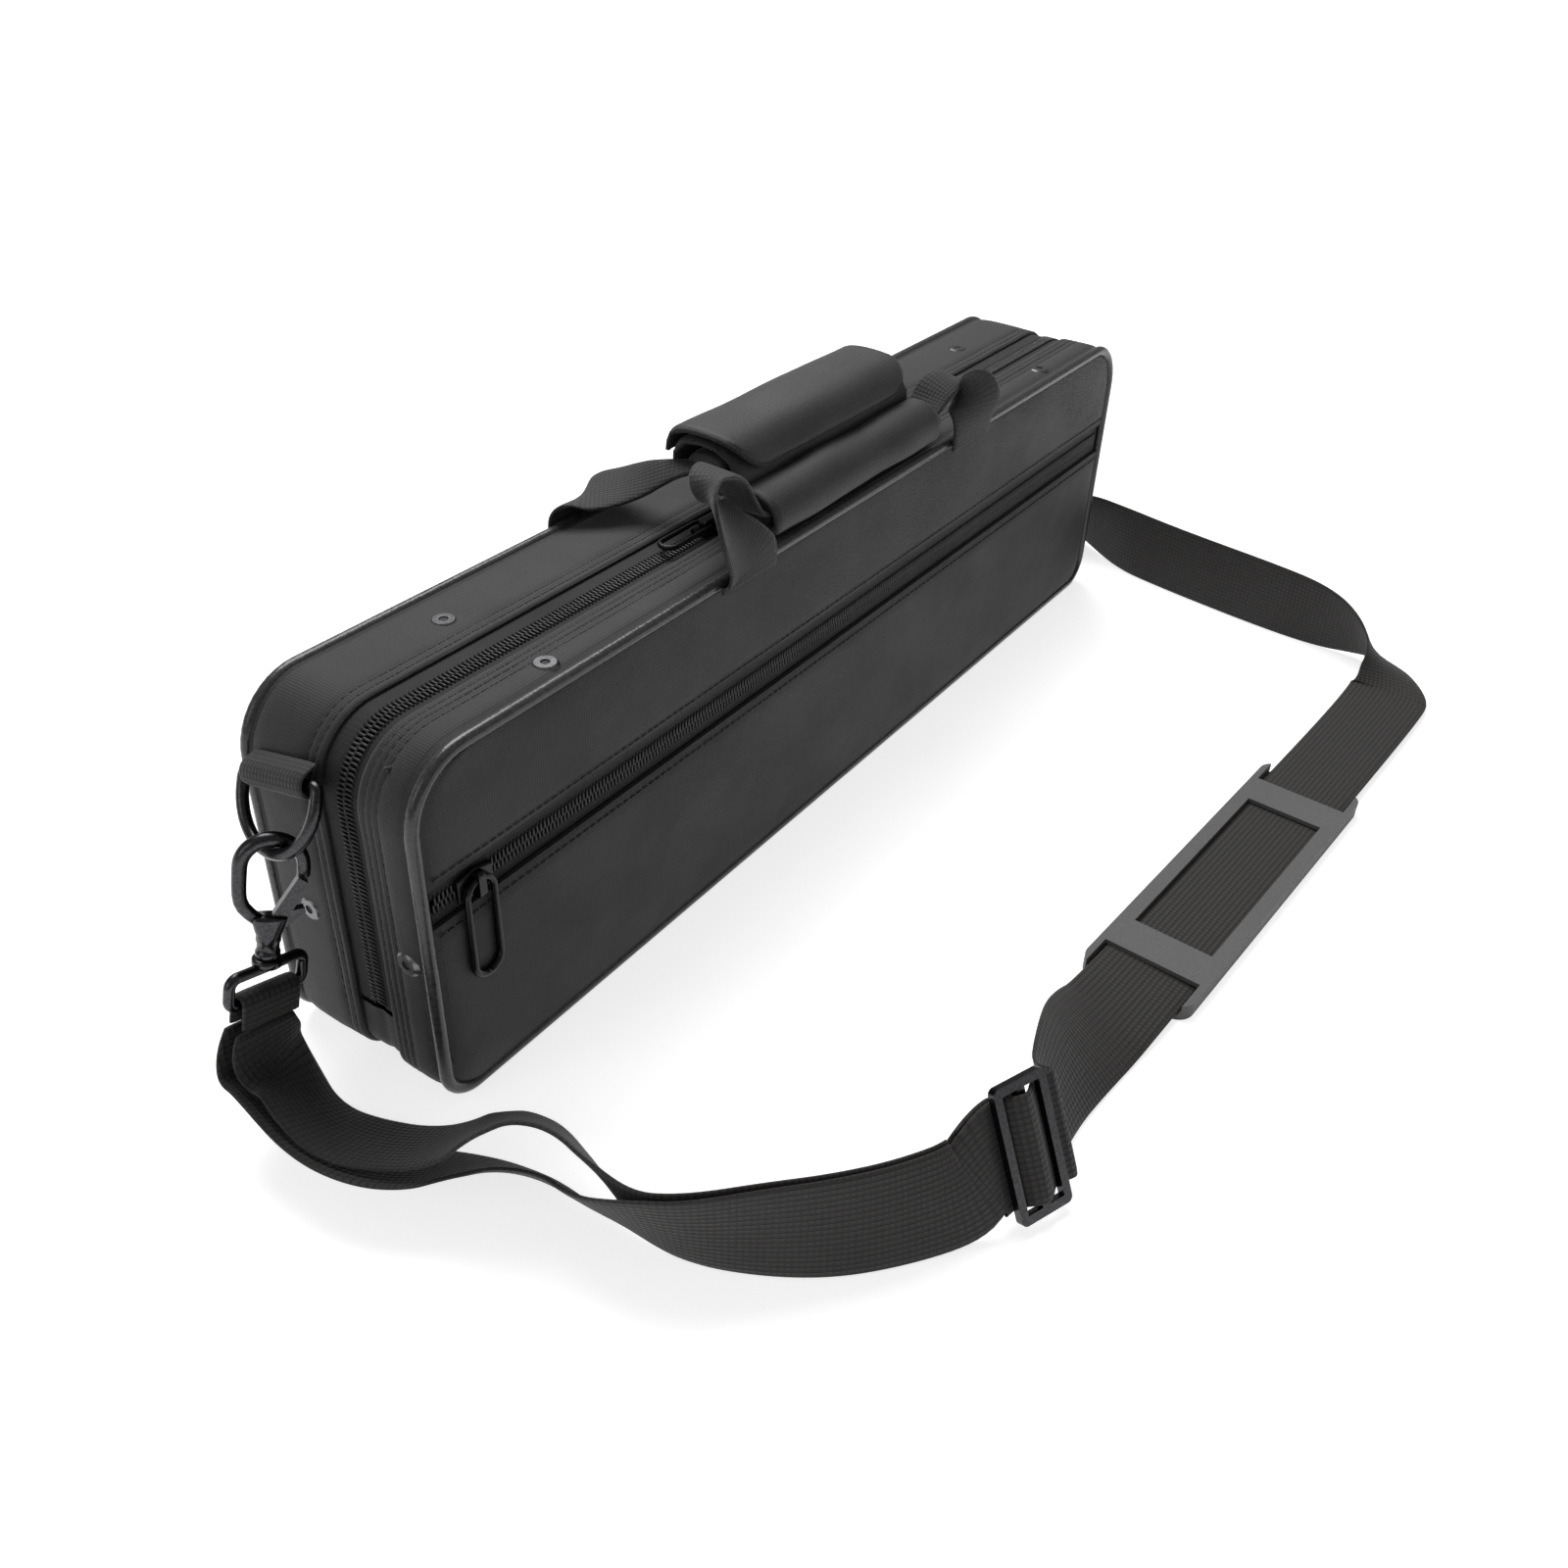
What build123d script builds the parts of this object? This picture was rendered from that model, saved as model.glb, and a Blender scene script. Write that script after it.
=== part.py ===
from build123d import *
import math
import os

# Soft flute case: two cloth-covered half shells that open on a fabric hinge along the bottom,
# closed by a two-slider zipper, with a web handle on each half and a detachable shoulder strap.
# Millimetres. X runs along the case, the pocket is on the -Y face, and the case stands on z = 0.

# Case envelope
case_length = 420.0
case_height = 118.0
case_depth = 66.0
corner_radius = 22.0
cloth_inset = 1.0  # how far the cloth lies inside the outermost line of the piping
wall = 4.0  # padded board with cloth on both sides
piping_radius = 2.0
piping_press = 0.3  # how far the bead is pressed flat where the case stands
groove_clearance = 0.15

# Main zipper
zip_y = -7.0
rim_gap = 8.0  # between the two board rims, where the sliders' lower plates run
back_tape_y = 1.5  # seam of the back tape
front_tape_y = -13.0  # seam of the front tape
tape_drop = 0.9  # tape face below the cloth
tape_thickness = 1.2
tape_seat = 0.3  # clearance under and beside a tape
tape_to_teeth = 2.1  # from the zip line to the tape's inner edge
bead_width = 0.9
tooth_pitch = 5.0
tooth_width = 1.5
tooth_overlap = 0.7  # how far a tooth passes the zip line
tooth_height = 2.4
zip_end_z = 26.0  # where the zipper stops above the hinge

# Zipper sliders
slider_length = 13.0
slider_plate = 1.3
slider_width = 8.6
slider_clearance = 0.2
post_offset = 5.2  # post from the slider's middle
post_length = 0.7
post_width = 1.4
lug_hole = 1.6  # pull's hole from the slider's middle
lug_height = 2.6
lug_width = 2.6
pull_bar = 1.4
pull_width = 6.0
pull_length = 22.0
pull_play = 0.3
pocket_pull_play = 0.2
left_slider_x = -53.0
right_slider_x = -38.0

# Front pocket
panel_thickness = 1.5
panel_seat = 0.3
pocket_depth = 5.0
pocket_zip_z = 72.5
pocket_strip = 13.0  # between the two stitched edges
pocket_slider_inset = 20.0  # from the case's left end
pocket_pull_length = 33.0
pocket_pull_width = 10.0
pocket_pull_wire = 1.7
pocket_tape_drop = 1.6

# Hollow rivets
rivet_x = 149.0
rivet_back_y = 15.0
rivet_front_y = -23.5
rivet_end_z = 52.0
rivet_flange = 4.4
rivet_shank = 2.4
rivet_bore = 1.4
rivet_rise = 1.1

# Inside
tray_clearance = 0.4
tray_face_y = -1.5
body_channel = (352.0, 39.0)
head_channel = (228.0, 30.0)
foot_channel = (130.0, 36.0)
channel_depth = 25.0
channel_radius = 6.0
tray_row_gap = 9.0
lid_pad_thickness = 14.0
lid_pad_clearance = 1.2

# Web handles
web_width = 30.0
web_thickness = 1.8
foot_x = 70.0
foot_drop = 8.0  # how far the web is sewn down the face
grip_length = 102.0
grip_web_width = 13.0
back_arch = 1.0  # how far the web rises above its grip
front_arch = 16.0
web_swing = 0.5  # outward lean of the web for each millimetre of its arch
web_play = 0.5  # round the web inside a grip roll
back_roll_y = -2.5
back_roll_rise = 16.5  # above the case
front_roll_y = -22.5
front_roll_rise = 7.6
back_roll_size = (21.0, 17.0)
front_roll_size = (15.6, 12.6)
flap_thickness = 2.6
flap_seat = 0.3
flap_fall = 5.0  # of its long edges below its top
flap_back_y = 11.5
flap_front_y = -15.5
flap_corner = 13.0

# Strap anchors
tab_width = 26.0
tab_tilt = 13.0
tab_y = 12.0
bar_z = 100.0
ring_wire = 3.5
ring_inner = 27.6
ring_drop = 20.0
ring_lean = 28.0
bar_play = 0.2
tab_webbing = 1.5
tab_seam = 4.0  # sewn end of the tab above the bar
ring_corner = 2.2

# Swivel snap hook
hook_wire = 3.6
hook_bend = 8.0  # bend radius of the bow, on its centreline
hook_lean = 15.0
hook_turn = -35.0  # of the bow about the swivel
hook_play = 0.75
hook_base = 4.0  # bow's root above the stem
hook_mouth = 2.6  # straight part of the bow above the gate
hook_stem_z = -24.0
barrel_radius = 3.3
barrel_length = 7.0
swivel_radius = 1.7
swivel_play = 0.1
pin_length = 4.0  # of the swivel pin inside the barrel
collar_radius = 4.1
collar_length = 2.4
eye_wire = 3.2
eye_width = 27.0
eye_height = 12.0
gate_width = 2.6
gate_play = 0.3
gate_bore_play = 0.12
gate_slope = 1.7  # fall of its nose, so that it clears the bow's end as it turns
pin_radius = 1.0
eye_corner = 2.2

# Strap
strap_width = 32.0
strap_thickness = 1.5
strap_end_width = 18.6
loop_play = 0.2
loop_length = 6.0
glide_wire = 2.6
glide_play = 0.4
glide_length = 40.0
glide_depth = 18.0
pad_length = 150.0
pad_width = 38.5
pad_floor = 2.0
pad_channel = 2.2
pad_roof = 1.6
pad_window = 92.0
pad_bar = 15.0  # bridge over the strap beside the window
pad_rail = 2.4
pad_notch = 9.0  # radius of the hollow in each end
wire_sides = 10  # faces round a wire
turn_steps = 5  # chords of a wire's quarter turn

# Values that follow from the sizes above
half_length = case_length / 2
half_depth = case_depth / 2
cloth_y = half_depth - cloth_inset
cloth_x = half_length - cloth_inset
cloth_top = case_height - cloth_inset
back_rim_y = zip_y + rim_gap / 2
front_rim_y = zip_y - rim_gap / 2
tape_face = cloth_inset + tape_drop
tape_back = tape_face + tape_thickness
rebate = tape_back + tape_seat
teeth_face = tape_face + tape_thickness / 2 - tooth_height / 2
teeth_back = teeth_face + tooth_height
back_roll_z = case_height + back_roll_rise
front_roll_z = case_height + front_roll_rise
pocket_slider_x = pocket_slider_inset - half_length


def slab(inset, y_low, y_high):
    """The case's rounded outline, drawn in by inset, from y_low to y_high."""
    outline = RectangleRounded(case_length - 2 * inset, case_height - 2 * inset, corner_radius - inset)
    plane = Plane((0, y_high, case_height / 2), x_dir=(1, 0, 0), z_dir=(0, -1, 0))
    return extrude(plane * outline, y_high - y_low)


def ring(inset, depth, y_low, y_high):
    """A band of the given depth that follows the outline."""
    return slab(inset, y_low, y_high) - slab(inset + depth, y_low - 1, y_high + 1)


def block(x, y, z):
    """A box between two values on each axis."""
    centre = ((x[0] + x[1]) / 2, (y[0] + y[1]) / 2, (z[0] + z[1]) / 2)
    return Pos(*centre) * Box(x[1] - x[0], y[1] - y[0], z[1] - z[0])


def above(z):
    """Everything above a height."""
    return block((-case_length, case_length), (-case_depth, case_depth), (z, 2 * case_height))


def below(z):
    """Everything below a height."""
    return block((-case_length, case_length), (-case_depth, case_depth), (-case_height, z))


def unit(v):
    """Vector of length one."""
    return v * (1 / v.length)


def arc(x, y, radius, start, end, steps):
    """Points on an arc about (x, y) from one angle to another, in degrees."""
    angles = [math.radians(start + (end - start) * i / steps) for i in range(steps + 1)]
    return [(x + radius * math.cos(a), y + radius * math.sin(a)) for a in angles]


def rounded(width, height, corner, steps):
    """Points of a rounded rectangle about the origin."""
    x, y = width / 2 - corner, height / 2 - corner
    points = []
    for i, (cx, cy) in enumerate([(x, y), (-x, y), (-x, -y), (x, -y)]):
        points += arc(cx, cy, corner, 90 * i, 90 * (i + 1), steps)
    return points


def skin(rings, closed=False):
    """Solid whose rings of points are joined by triangles. Both long sides split the same way."""
    faces = []
    count = len(rings[0])
    following = rings[1:] + rings[:1] if closed else rings[1:]
    for near, far in zip(rings, following):
        for i in range(count):
            j = (i + 1) % count
            if i < count / 2:
                corners = [(near[i], near[j], far[j]), (near[i], far[j], far[i])]
            else:
                corners = [(near[i], near[j], far[i]), (near[j], far[j], far[i])]
            faces += [make_face(Polyline(*c, close=True)).face() for c in corners]
    if not closed:
        faces.append(make_face(Polyline(*rings[0], close=True)).face())
        faces.append(make_face(Polyline(*rings[-1], close=True)).face())
    return Solid(Shell(faces))


def wire_along(points, radius, closed=True):
    """Round wire along flat points, mitred where they turn."""
    path = [Vector(x, y) for x, y in points]
    count = len(path)
    rings = []
    for i, point in enumerate(path):
        after = path[(i + 1) % count] if closed or i < count - 1 else point * 2 - path[i - 1]
        before = path[i - 1] if closed or i > 0 else point * 2 - after
        ahead = unit(after - point)
        behind = unit(point - before)
        square = Vector(-ahead.Y, ahead.X)
        mitre = unit(square + Vector(-behind.Y, behind.X))
        reach = radius / mitre.dot(square)
        ring = []
        for k in range(wire_sides):
            turn = 2 * math.pi * (k + 0.5) / wire_sides
            ring.append(point + mitre * reach * math.cos(turn) + Vector(0, 0, radius * math.sin(turn)))
        rings.append(ring)
    return skin(rings, closed)


def piping(side, extra=0.0):
    """Bead along one face's edge; side is 1 at the back and -1 at the front."""
    inset = piping_radius
    height = case_height + piping_press
    outline = rounded(case_length - 2 * inset, height - 2 * inset, corner_radius - inset, 2 * turn_steps)
    y = side * (half_depth - piping_radius)
    plane = Plane((0, y, case_height - height / 2), x_dir=(1, 0, 0), z_dir=(0, -1, 0))
    return plane * wire_along(outline, piping_radius + extra) - below(0)


def rivet_places(y):
    """Two rivets on the top and one on each end: origin and outward direction."""
    return [
        ((-rivet_x, y, cloth_top), (0, 0, 1)),
        ((rivet_x, y, cloth_top), (0, 0, 1)),
        ((-cloth_x, y, rivet_end_z), (-1, 0, 0)),
        ((cloth_x, y, rivet_end_z), (1, 0, 0)),
    ]


def rivets(y):
    """Hollow rivets: a domed flange outside and a tube through the wall."""
    tail = groove_clearance - wall
    outline = [
        (rivet_bore, rivet_rise),
        (rivet_flange - 1.2, rivet_rise),
        (rivet_flange, 0.1),
        (rivet_shank - groove_clearance, 0.1),
        (rivet_shank - groove_clearance, tail),
        (rivet_bore, tail),
    ]
    profile = make_face(Polyline(*[(r, 0, z) for r, z in outline], close=True))
    one = revolve(profile, Axis.Z)
    return Compound(children=[Plane(origin=o, z_dir=d) * one for o, d in rivet_places(y)])


def rivet_holes(y):
    """Holes that the rivet tubes pass through."""
    tool = Cylinder(rivet_shank, 6 * wall)
    return [Plane(origin=o, z_dir=d) * tool for o, d in rivet_places(y)]


def back_shell():
    """Deeper half: board walls, with a rebate for the zipper tape and a groove for the piping."""
    shell = slab(cloth_inset, back_rim_y, cloth_y)
    shell -= slab(cloth_inset + wall, back_rim_y - 1, cloth_y - wall)
    shell -= ring(0, rebate, back_rim_y - 1, back_tape_y)
    shell -= piping(1, groove_clearance)
    for hole in rivet_holes(rivet_back_y):
        shell -= hole
    return shell


def front_shell():
    """Shallow half: walls, a middle wall behind the pocket, and side walls that carry the panels."""
    panel_back = -(cloth_y - panel_thickness - panel_seat)
    middle = panel_back + pocket_depth
    shell = slab(cloth_inset, panel_back, front_rim_y)
    shell -= slab(cloth_inset + wall, middle + wall, front_rim_y + 1)
    shell -= slab(cloth_inset + wall, panel_back - 1, middle)
    shell -= ring(0, rebate, front_tape_y, front_rim_y + 1)
    shell -= piping(-1, groove_clearance)
    for hole in rivet_holes(rivet_front_y):
        shell -= hole
    return shell


def front_panel(z_low, z_high):
    """Cloth panel of the front face between two heights."""
    panel = slab(cloth_inset, -cloth_y, panel_thickness - cloth_y) - piping(-1, groove_clearance)
    return panel - below(z_low) - above(z_high)


def zipper_tape(y_low, y_high):
    """One side's tape, round the top and down both ends."""
    return ring(tape_face, tape_thickness, y_low, y_high) - below(zip_end_z)


def hinge_tape():
    """Cloth hinge along the bottom, up to where the zipper stops."""
    band = ring(tape_face, tape_thickness, front_tape_y + tape_seat, back_tape_y - tape_seat)
    return band - above(zip_end_z - tape_seat)


def tooth_stations(phase):
    """Places along the zip line, from low on the left end to low on the right end."""
    radius = corner_radius - tape_face
    rise = case_height - corner_radius - zip_end_z
    turn = radius * math.pi / 2
    run = case_length - 2 * corner_radius
    total = 2 * rise + 2 * turn + run
    count = int((total - tooth_pitch) / tooth_pitch)
    stations = []
    for i in range(count):
        s = (i + 0.5 + phase) * tooth_pitch
        if s < rise:
            stations.append((-half_length + tape_face, zip_end_z + s, 90.0))
        elif s < rise + turn:
            angle = (s - rise) / radius
            x = -half_length + corner_radius - radius * math.cos(angle)
            z = case_height - corner_radius + radius * math.sin(angle)
            stations.append((x, z, 90 - math.degrees(angle)))
        elif s < rise + turn + run:
            stations.append((-half_length + corner_radius + s - rise - turn, case_height - tape_face, 0.0))
        elif s < rise + 2 * turn + run:
            angle = (s - rise - turn - run) / radius
            x = half_length - corner_radius + radius * math.sin(angle)
            z = case_height - corner_radius + radius * math.cos(angle)
            stations.append((x, z, -math.degrees(angle)))
        else:
            z = case_height - corner_radius - (s - rise - 2 * turn - run)
            stations.append((half_length - tape_face, z, -90.0))
    return stations


def zipper_teeth(side):
    """One side's chain: a bead on the tape's edge with teeth that mesh with the other side's."""
    y_edge = zip_y + side * tape_to_teeth
    y_root = y_edge - side * bead_width
    y_tip = zip_y - side * tooth_overlap
    chain = ring(teeth_face, tooth_height, min(y_edge, y_root), max(y_edge, y_root)) - below(zip_end_z)
    tooth = Box(tooth_width, abs(y_tip - y_root) + 0.2, tooth_height - 0.4)
    middle = (y_tip + y_root + side * 0.2) / 2
    drop = -tape_thickness / 2
    phase = 0.0 if side > 0 else 0.5
    teeth = []
    for x, z, angle in tooth_stations(phase):
        teeth.append(Pos(x, middle, z) * Rot(0, -angle, 0) * Pos(0, 0, drop) * tooth)
    return chain.fuse(*teeth)


def slider(crossed=False):
    """Slider on local axes: x towards its post, z outwards from the tape's face, y across.

    A crossed slider has its lug turned, so that its pull hangs across the zipper."""
    wide = slider_width
    gap = tooth_height + 2 * slider_clearance
    middle = -tape_thickness / 2
    top = middle + gap / 2
    nose = Polyline(
        (-slider_length / 2, -wide / 2 + 1.6),
        (0, -wide / 2),
        (slider_length / 2, -wide / 2 + 0.8),
        (slider_length / 2, wide / 2 - 0.8),
        (0, wide / 2),
        (-slider_length / 2, wide / 2 - 1.6),
        close=True,
    )
    plate = make_face(nose)
    lower_outline = scale(plate, by=(1, (rim_gap - 1.6) / wide, 1))
    upper = extrude(Pos(0, 0, top) * plate, slider_plate)
    upper = chamfer(upper.faces().sort_by(Axis.Z)[-1].edges(), 0.4)
    lower = extrude(Pos(0, 0, middle - gap / 2 - slider_plate) * lower_outline, slider_plate)
    post = Pos(post_offset, 0, middle) * Box(post_length, post_width, gap + 0.4)
    lug_z = top + slider_plate
    lug = Pos(0, 0, lug_z + lug_height / 2) * Box(8.0, lug_width, lug_height)
    lug = fillet(lug.faces().sort_by(Axis.Z)[-1].edges().filter_by(Axis.Y), 1.2)
    bore = pocket_pull_wire / 2 + pocket_pull_play if crossed else pull_bar / 2 + pull_play
    hole = Pos(-lug_hole, 0, lug_centre()) * Rot(90, 0, 0) * Cylinder(bore, 3 * lug_width)
    crown = lug - hole
    if crossed:
        crown = Rot(0, 0, 90) * crown
    return upper + lower + post + crown


def lug_centre():
    """Height of the pull's pin above the tape's face."""
    top = -tape_thickness / 2 + tooth_height / 2 + slider_clearance
    return top + slider_plate + lug_height / 2 - 0.1


def pull(length, width, bar, direction):
    """Wire loop on local axes, hinged at x = 0 and reaching along direction."""
    outline = rounded(length, width, width / 2 - 0.05, turn_steps)
    return Pos(direction * length / 2, 0, 0) * wire_along(outline, bar / 2)


def rest_x(x, post_side):
    """Slider place near x where its post stands between two teeth of the top run."""
    first = min(sx for sx, _, angle in tooth_stations(0.0) if angle == 0.0)
    step = tooth_pitch / 2
    post = x + post_side * post_offset
    count = round((post - first) / step - 0.5)
    return first + (count + 0.5) * step - post_side * post_offset


def main_slider(x, post_side):
    """Slider of the main zipper on the straight top run."""
    place = Pos(rest_x(x, post_side), zip_y, case_height - tape_face)
    return place * Rot(0, 0, 0 if post_side > 0 else 180) * slider()


def main_pull(x, post_side):
    """Pull of a main slider, lying along the zipper away from the post."""
    z = case_height - tape_face + lug_centre()
    hinge_x = rest_x(x, post_side) - post_side * lug_hole
    return Pos(hinge_x, zip_y, z) * pull(pull_length, pull_width, pull_bar, -post_side)


def pocket_plane():
    """Local axes of the pocket zipper: x along it, z outwards through the front face."""
    y = -(cloth_y - pocket_tape_drop)
    return Plane((0, y, pocket_zip_z), x_dir=(1, 0, 0), z_dir=(0, -1, 0))


def pocket_tape(side):
    """Pocket tape above (1) or below (-1) the teeth."""
    half = pocket_strip / 2 - tape_seat
    reach = cloth_x - wall - tape_seat
    low = tape_to_teeth if side > 0 else -half
    high = half if side > 0 else -tape_to_teeth
    strip = Pos(0, (low + high) / 2, -tape_thickness / 2) * Box(2 * reach, high - low, tape_thickness)
    return pocket_plane() * strip


def pocket_teeth(side):
    """Pocket chain above (1) or below (-1) the zip line, cut as one comb."""
    reach = cloth_x - wall - tape_seat
    edge = side * tape_to_teeth
    root = edge - side * bead_width
    tip = -side * tooth_overlap
    first = pocket_slider_x - post_offset + post_length + (0.0 if side > 0 else tooth_pitch / 2)
    count = int((reach - first) / tooth_pitch)
    points = [(-reach, edge), (-reach, root)]
    for i in range(count):
        x = first + i * tooth_pitch
        points += [(x, root), (x, tip), (x + tooth_width, tip), (x + tooth_width, root)]
    points += [(reach, root), (reach, edge)]
    comb = make_face(Polyline(*points, close=True))
    return pocket_plane() * extrude(Pos(0, 0, -tape_thickness / 2 - tooth_height / 2) * comb, tooth_height)


def pocket_slider():
    """Slider of the pocket zipper; its pull hangs down the front."""
    return pocket_plane() * Pos(pocket_slider_x, 0, 0) * Rot(0, 0, 180) * slider(crossed=True)


def pocket_pull_point():
    """Where the pocket pull turns, in the slider's lug."""
    y = -(cloth_y - pocket_tape_drop) - lug_centre()
    return (pocket_slider_x, y, pocket_zip_z + lug_hole)


def pocket_pull():
    """Wire loop that hangs from the pocket slider."""
    loop = pull(pocket_pull_length, pocket_pull_width, pocket_pull_wire, 1)
    return Pos(*pocket_pull_point()) * Rot(90, 0, 0) * Rot(0, 0, -90) * loop


def foam_tray():
    """Moulded tray with a channel for each joint of a flute."""
    tray = slab(cloth_inset + wall + tray_clearance, tray_face_y, cloth_y - wall - tray_clearance)
    floor_y = tray_face_y + channel_depth
    rows = tray_rows()
    for x, z, (long, high) in rows:
        outline = Plane((x, tray_face_y, z), x_dir=(1, 0, 0), z_dir=(0, 1, 0)) * RectangleRounded(
            long, high, channel_radius
        )
        tray -= extrude(outline, floor_y - tray_face_y)
    return tray


def tray_rows():
    """Centre and size of each channel: the body joint above, the head and foot joints below."""
    low_row = cloth_inset + wall + tray_row_gap + foot_channel[1] / 2
    high_row = case_height - cloth_inset - wall - tray_row_gap - body_channel[1] / 2
    span = head_channel[0] + foot_channel[0] + tray_row_gap
    return [
        (0.0, high_row, body_channel),
        (-span / 2 + head_channel[0] / 2, low_row, head_channel),
        (span / 2 - foot_channel[0] / 2, low_row, foot_channel),
    ]


def lid_pad():
    """Padded board in the lid that holds the flute down."""
    back = -(cloth_y - panel_thickness - panel_seat - pocket_depth - wall)
    low = back + tray_clearance
    pad = slab(cloth_inset + wall + lid_pad_clearance, low, low + lid_pad_thickness)
    return fillet(pad.faces().sort_by(Axis.Y)[-1].edges(), 3.0)


def ribbon(stations, thickness):
    """Flat webbing through stations of (centre, width direction, width)."""
    centres = [Vector(*c) for c, _, _ in stations]
    rings = []
    for i, (_, across, width) in enumerate(stations):
        before = centres[max(i - 1, 0)]
        after = centres[min(i + 1, len(centres) - 1)]
        along = unit(after - before)
        side = Vector(*across)
        side = unit(side - along * side.dot(along)) * (width / 2)
        face = along.cross(unit(side)) * (thickness / 2)
        top = [centres[i] + side * k + face for k in (1, 0, -1)]
        rings.append(top + [centres[i] + side * k - face for k in (-1, 0, 1)])
    return skin(rings)


def mirror_x(stations):
    """Stations of one half of a handle followed by their mirror images."""
    return stations + [((-c[0], c[1], c[2]), (-w[0], w[1], w[2]), s) for c, w, s in reversed(stations)]


def handle_web(side, roll_y, roll_z, arch):
    """Web handle: sewn to a face, up past the piping, turned on edge over an arch and into the grip."""
    face = side * (half_depth + web_thickness / 2 + 0.2)
    top = case_height
    lean = roll_y - face
    rise = roll_z + arch - top
    swing = arch * web_swing
    end = -grip_length / 2
    wide = web_width
    half = [
        ((-foot_x, face, top - foot_drop), (1, 0, 0), wide),
        ((-foot_x, face, top + 1.5), (1, 0, 0), wide),
        ((-foot_x - swing * 0.3, face + lean * 0.03, top + rise * 0.36), (1, side * 0.08, 0), wide),
        ((-foot_x - swing * 0.8, face + lean * 0.14, top + rise * 0.68), (0.9, side * 0.35, -0.1), wide * 0.78),
        ((-foot_x - swing, face + lean * 0.36, top + rise * 0.92), (0.55, side * 0.75, -0.1), wide * 0.58),
        ((-foot_x - swing * 0.4, face + lean * 0.64, top + rise), (0.15, side * 0.97, -0.1), wide * 0.48),
        ((end - 13, face + lean * 0.86, roll_z + arch * 0.8), (0, side, 0), wide * 0.45),
        ((end - 6, roll_y, roll_z + arch * 0.3), (0, side, 0), grip_web_width),
        ((end - 1, roll_y, roll_z), (0, side, 0), grip_web_width),
        ((end + 4, roll_y, roll_z), (0, side, 0), grip_web_width),
    ]
    return ribbon(mirror_x(half), web_thickness)


def roll(y, z, size, inner_y):
    """Padded sleeve round a web, with a flat passage for it."""
    outline = Plane.YZ.offset(-grip_length / 2) * Pos(y, z) * RectangleRounded(
        size[0], size[1], min(size) / 2 - 0.2
    )
    sleeve = extrude(outline, grip_length)
    passage = Pos(0, y, z) * Box(2 * grip_length, inner_y + 2 * web_play, web_thickness + 2 * web_play)
    return sleeve - passage


def grip_flap():
    """Flap of the grip: a bent padded sheet that closes over the roll with touch fastener."""
    top = back_roll_z + back_roll_size[1] / 2 + flap_thickness / 2 + flap_seat
    section = Polyline(
        (flap_back_y, top - flap_fall),
        (flap_back_y - 2.0, top - 1.2),
        (flap_back_y - 5.0, top),
        (flap_front_y + 6.0, top),
        (flap_front_y, top - flap_fall),
    )
    sheet = offset(section, flap_thickness / 2, side=Side.BOTH)
    body = extrude(Plane.YZ.offset(-grip_length / 2) * make_face(sheet), grip_length)
    corner = Pos(-grip_length / 2, flap_front_y - flap_thickness, top) * Rot(0, 0, 45)
    body -= corner * Box(flap_corner, flap_corner, 40)
    mirror_corner = Pos(grip_length / 2, flap_front_y - flap_thickness, top) * Rot(0, 0, 45)
    return body - mirror_corner * Box(flap_corner, flap_corner, 40)


def bar_point():
    """Centre of the left D-ring's bar."""
    loop = ring_wire / 2 + bar_play + tab_webbing
    return (-cloth_x - loop - 0.1, tab_y, bar_z)


def tab_axis():
    """Axis that the tab and its bar are tilted about."""
    return Axis(bar_point(), (1, 0, 0))


def mirrored(shape):
    """Copy of a shape for the right end."""
    return mirror(shape, about=Plane.YZ)


def ring_tab():
    """Webbing tab folded round the D-ring's bar and sewn to the left end."""
    x, y, z = bar_point()
    loop = ring_wire / 2 + bar_play + tab_webbing
    side = Plane((0, y + tab_width / 2, 0), x_dir=(1, 0, 0), z_dir=(0, -1, 0))
    seam = z + loop + tab_seam
    throat = Polyline(
        (x, z - loop),
        (-cloth_x, z - loop),
        (-cloth_x, seam),
        (-cloth_x - tab_webbing, seam),
        (x - loop, z),
        close=True,
    )
    strip = extrude(side * (Pos(x, z) * Circle(loop) + make_face(throat)), tab_width)
    strip -= Pos(x, y, z) * Rot(90, 0, 0) * Cylinder(ring_wire / 2 + bar_play, 2 * tab_width)
    return strip.rotate(tab_axis(), -tab_tilt)


def d_ring():
    """D-ring: a straight bar inside the tab and a bow that hangs out from it."""
    x, y, z = bar_point()
    half = (ring_inner + ring_wire) / 2
    inner = half - ring_corner
    outline = arc(inner, -ring_corner, ring_corner, 0, 90, turn_steps - 2)
    outline += arc(-inner, -ring_corner, ring_corner, 90, 180, turn_steps - 2)
    outline += arc(0, half - ring_drop, half, 180, 360, 3 * turn_steps)
    flat = wire_along(outline, ring_wire / 2)
    placed = Plane((x, y, z), x_dir=(0, 1, 0), z_dir=(1, 0, 0)) * flat
    return placed.rotate(Axis((x, y, z), (0, 1, 0)), ring_lean).rotate(tab_axis(), -tab_tilt)


def ring_bottom():
    """Centre of the left D-ring's wire where the hook hangs."""
    x, y, z = bar_point()
    lean = math.radians(ring_lean)
    tilt = math.radians(tab_tilt)
    down = ring_drop * math.cos(lean)
    return (x - ring_drop * math.sin(lean), y - down * math.sin(tilt), z - down * math.cos(tilt))


def hook_place():
    """Local axes of the left hook: origin at the D-ring's wire, z up along the hook."""
    return Pos(*ring_bottom()) * Rot(0, hook_lean, 0)


def bow_place():
    """Local axes of the left hook's bow and gate, turned about the swivel."""
    return hook_place() * Rot(0, 0, hook_turn)


def bow_centre():
    """Height of the centre of the hook's bow on its local axes."""
    return ring_wire / 2 + hook_play + hook_wire / 2 - hook_bend


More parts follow.
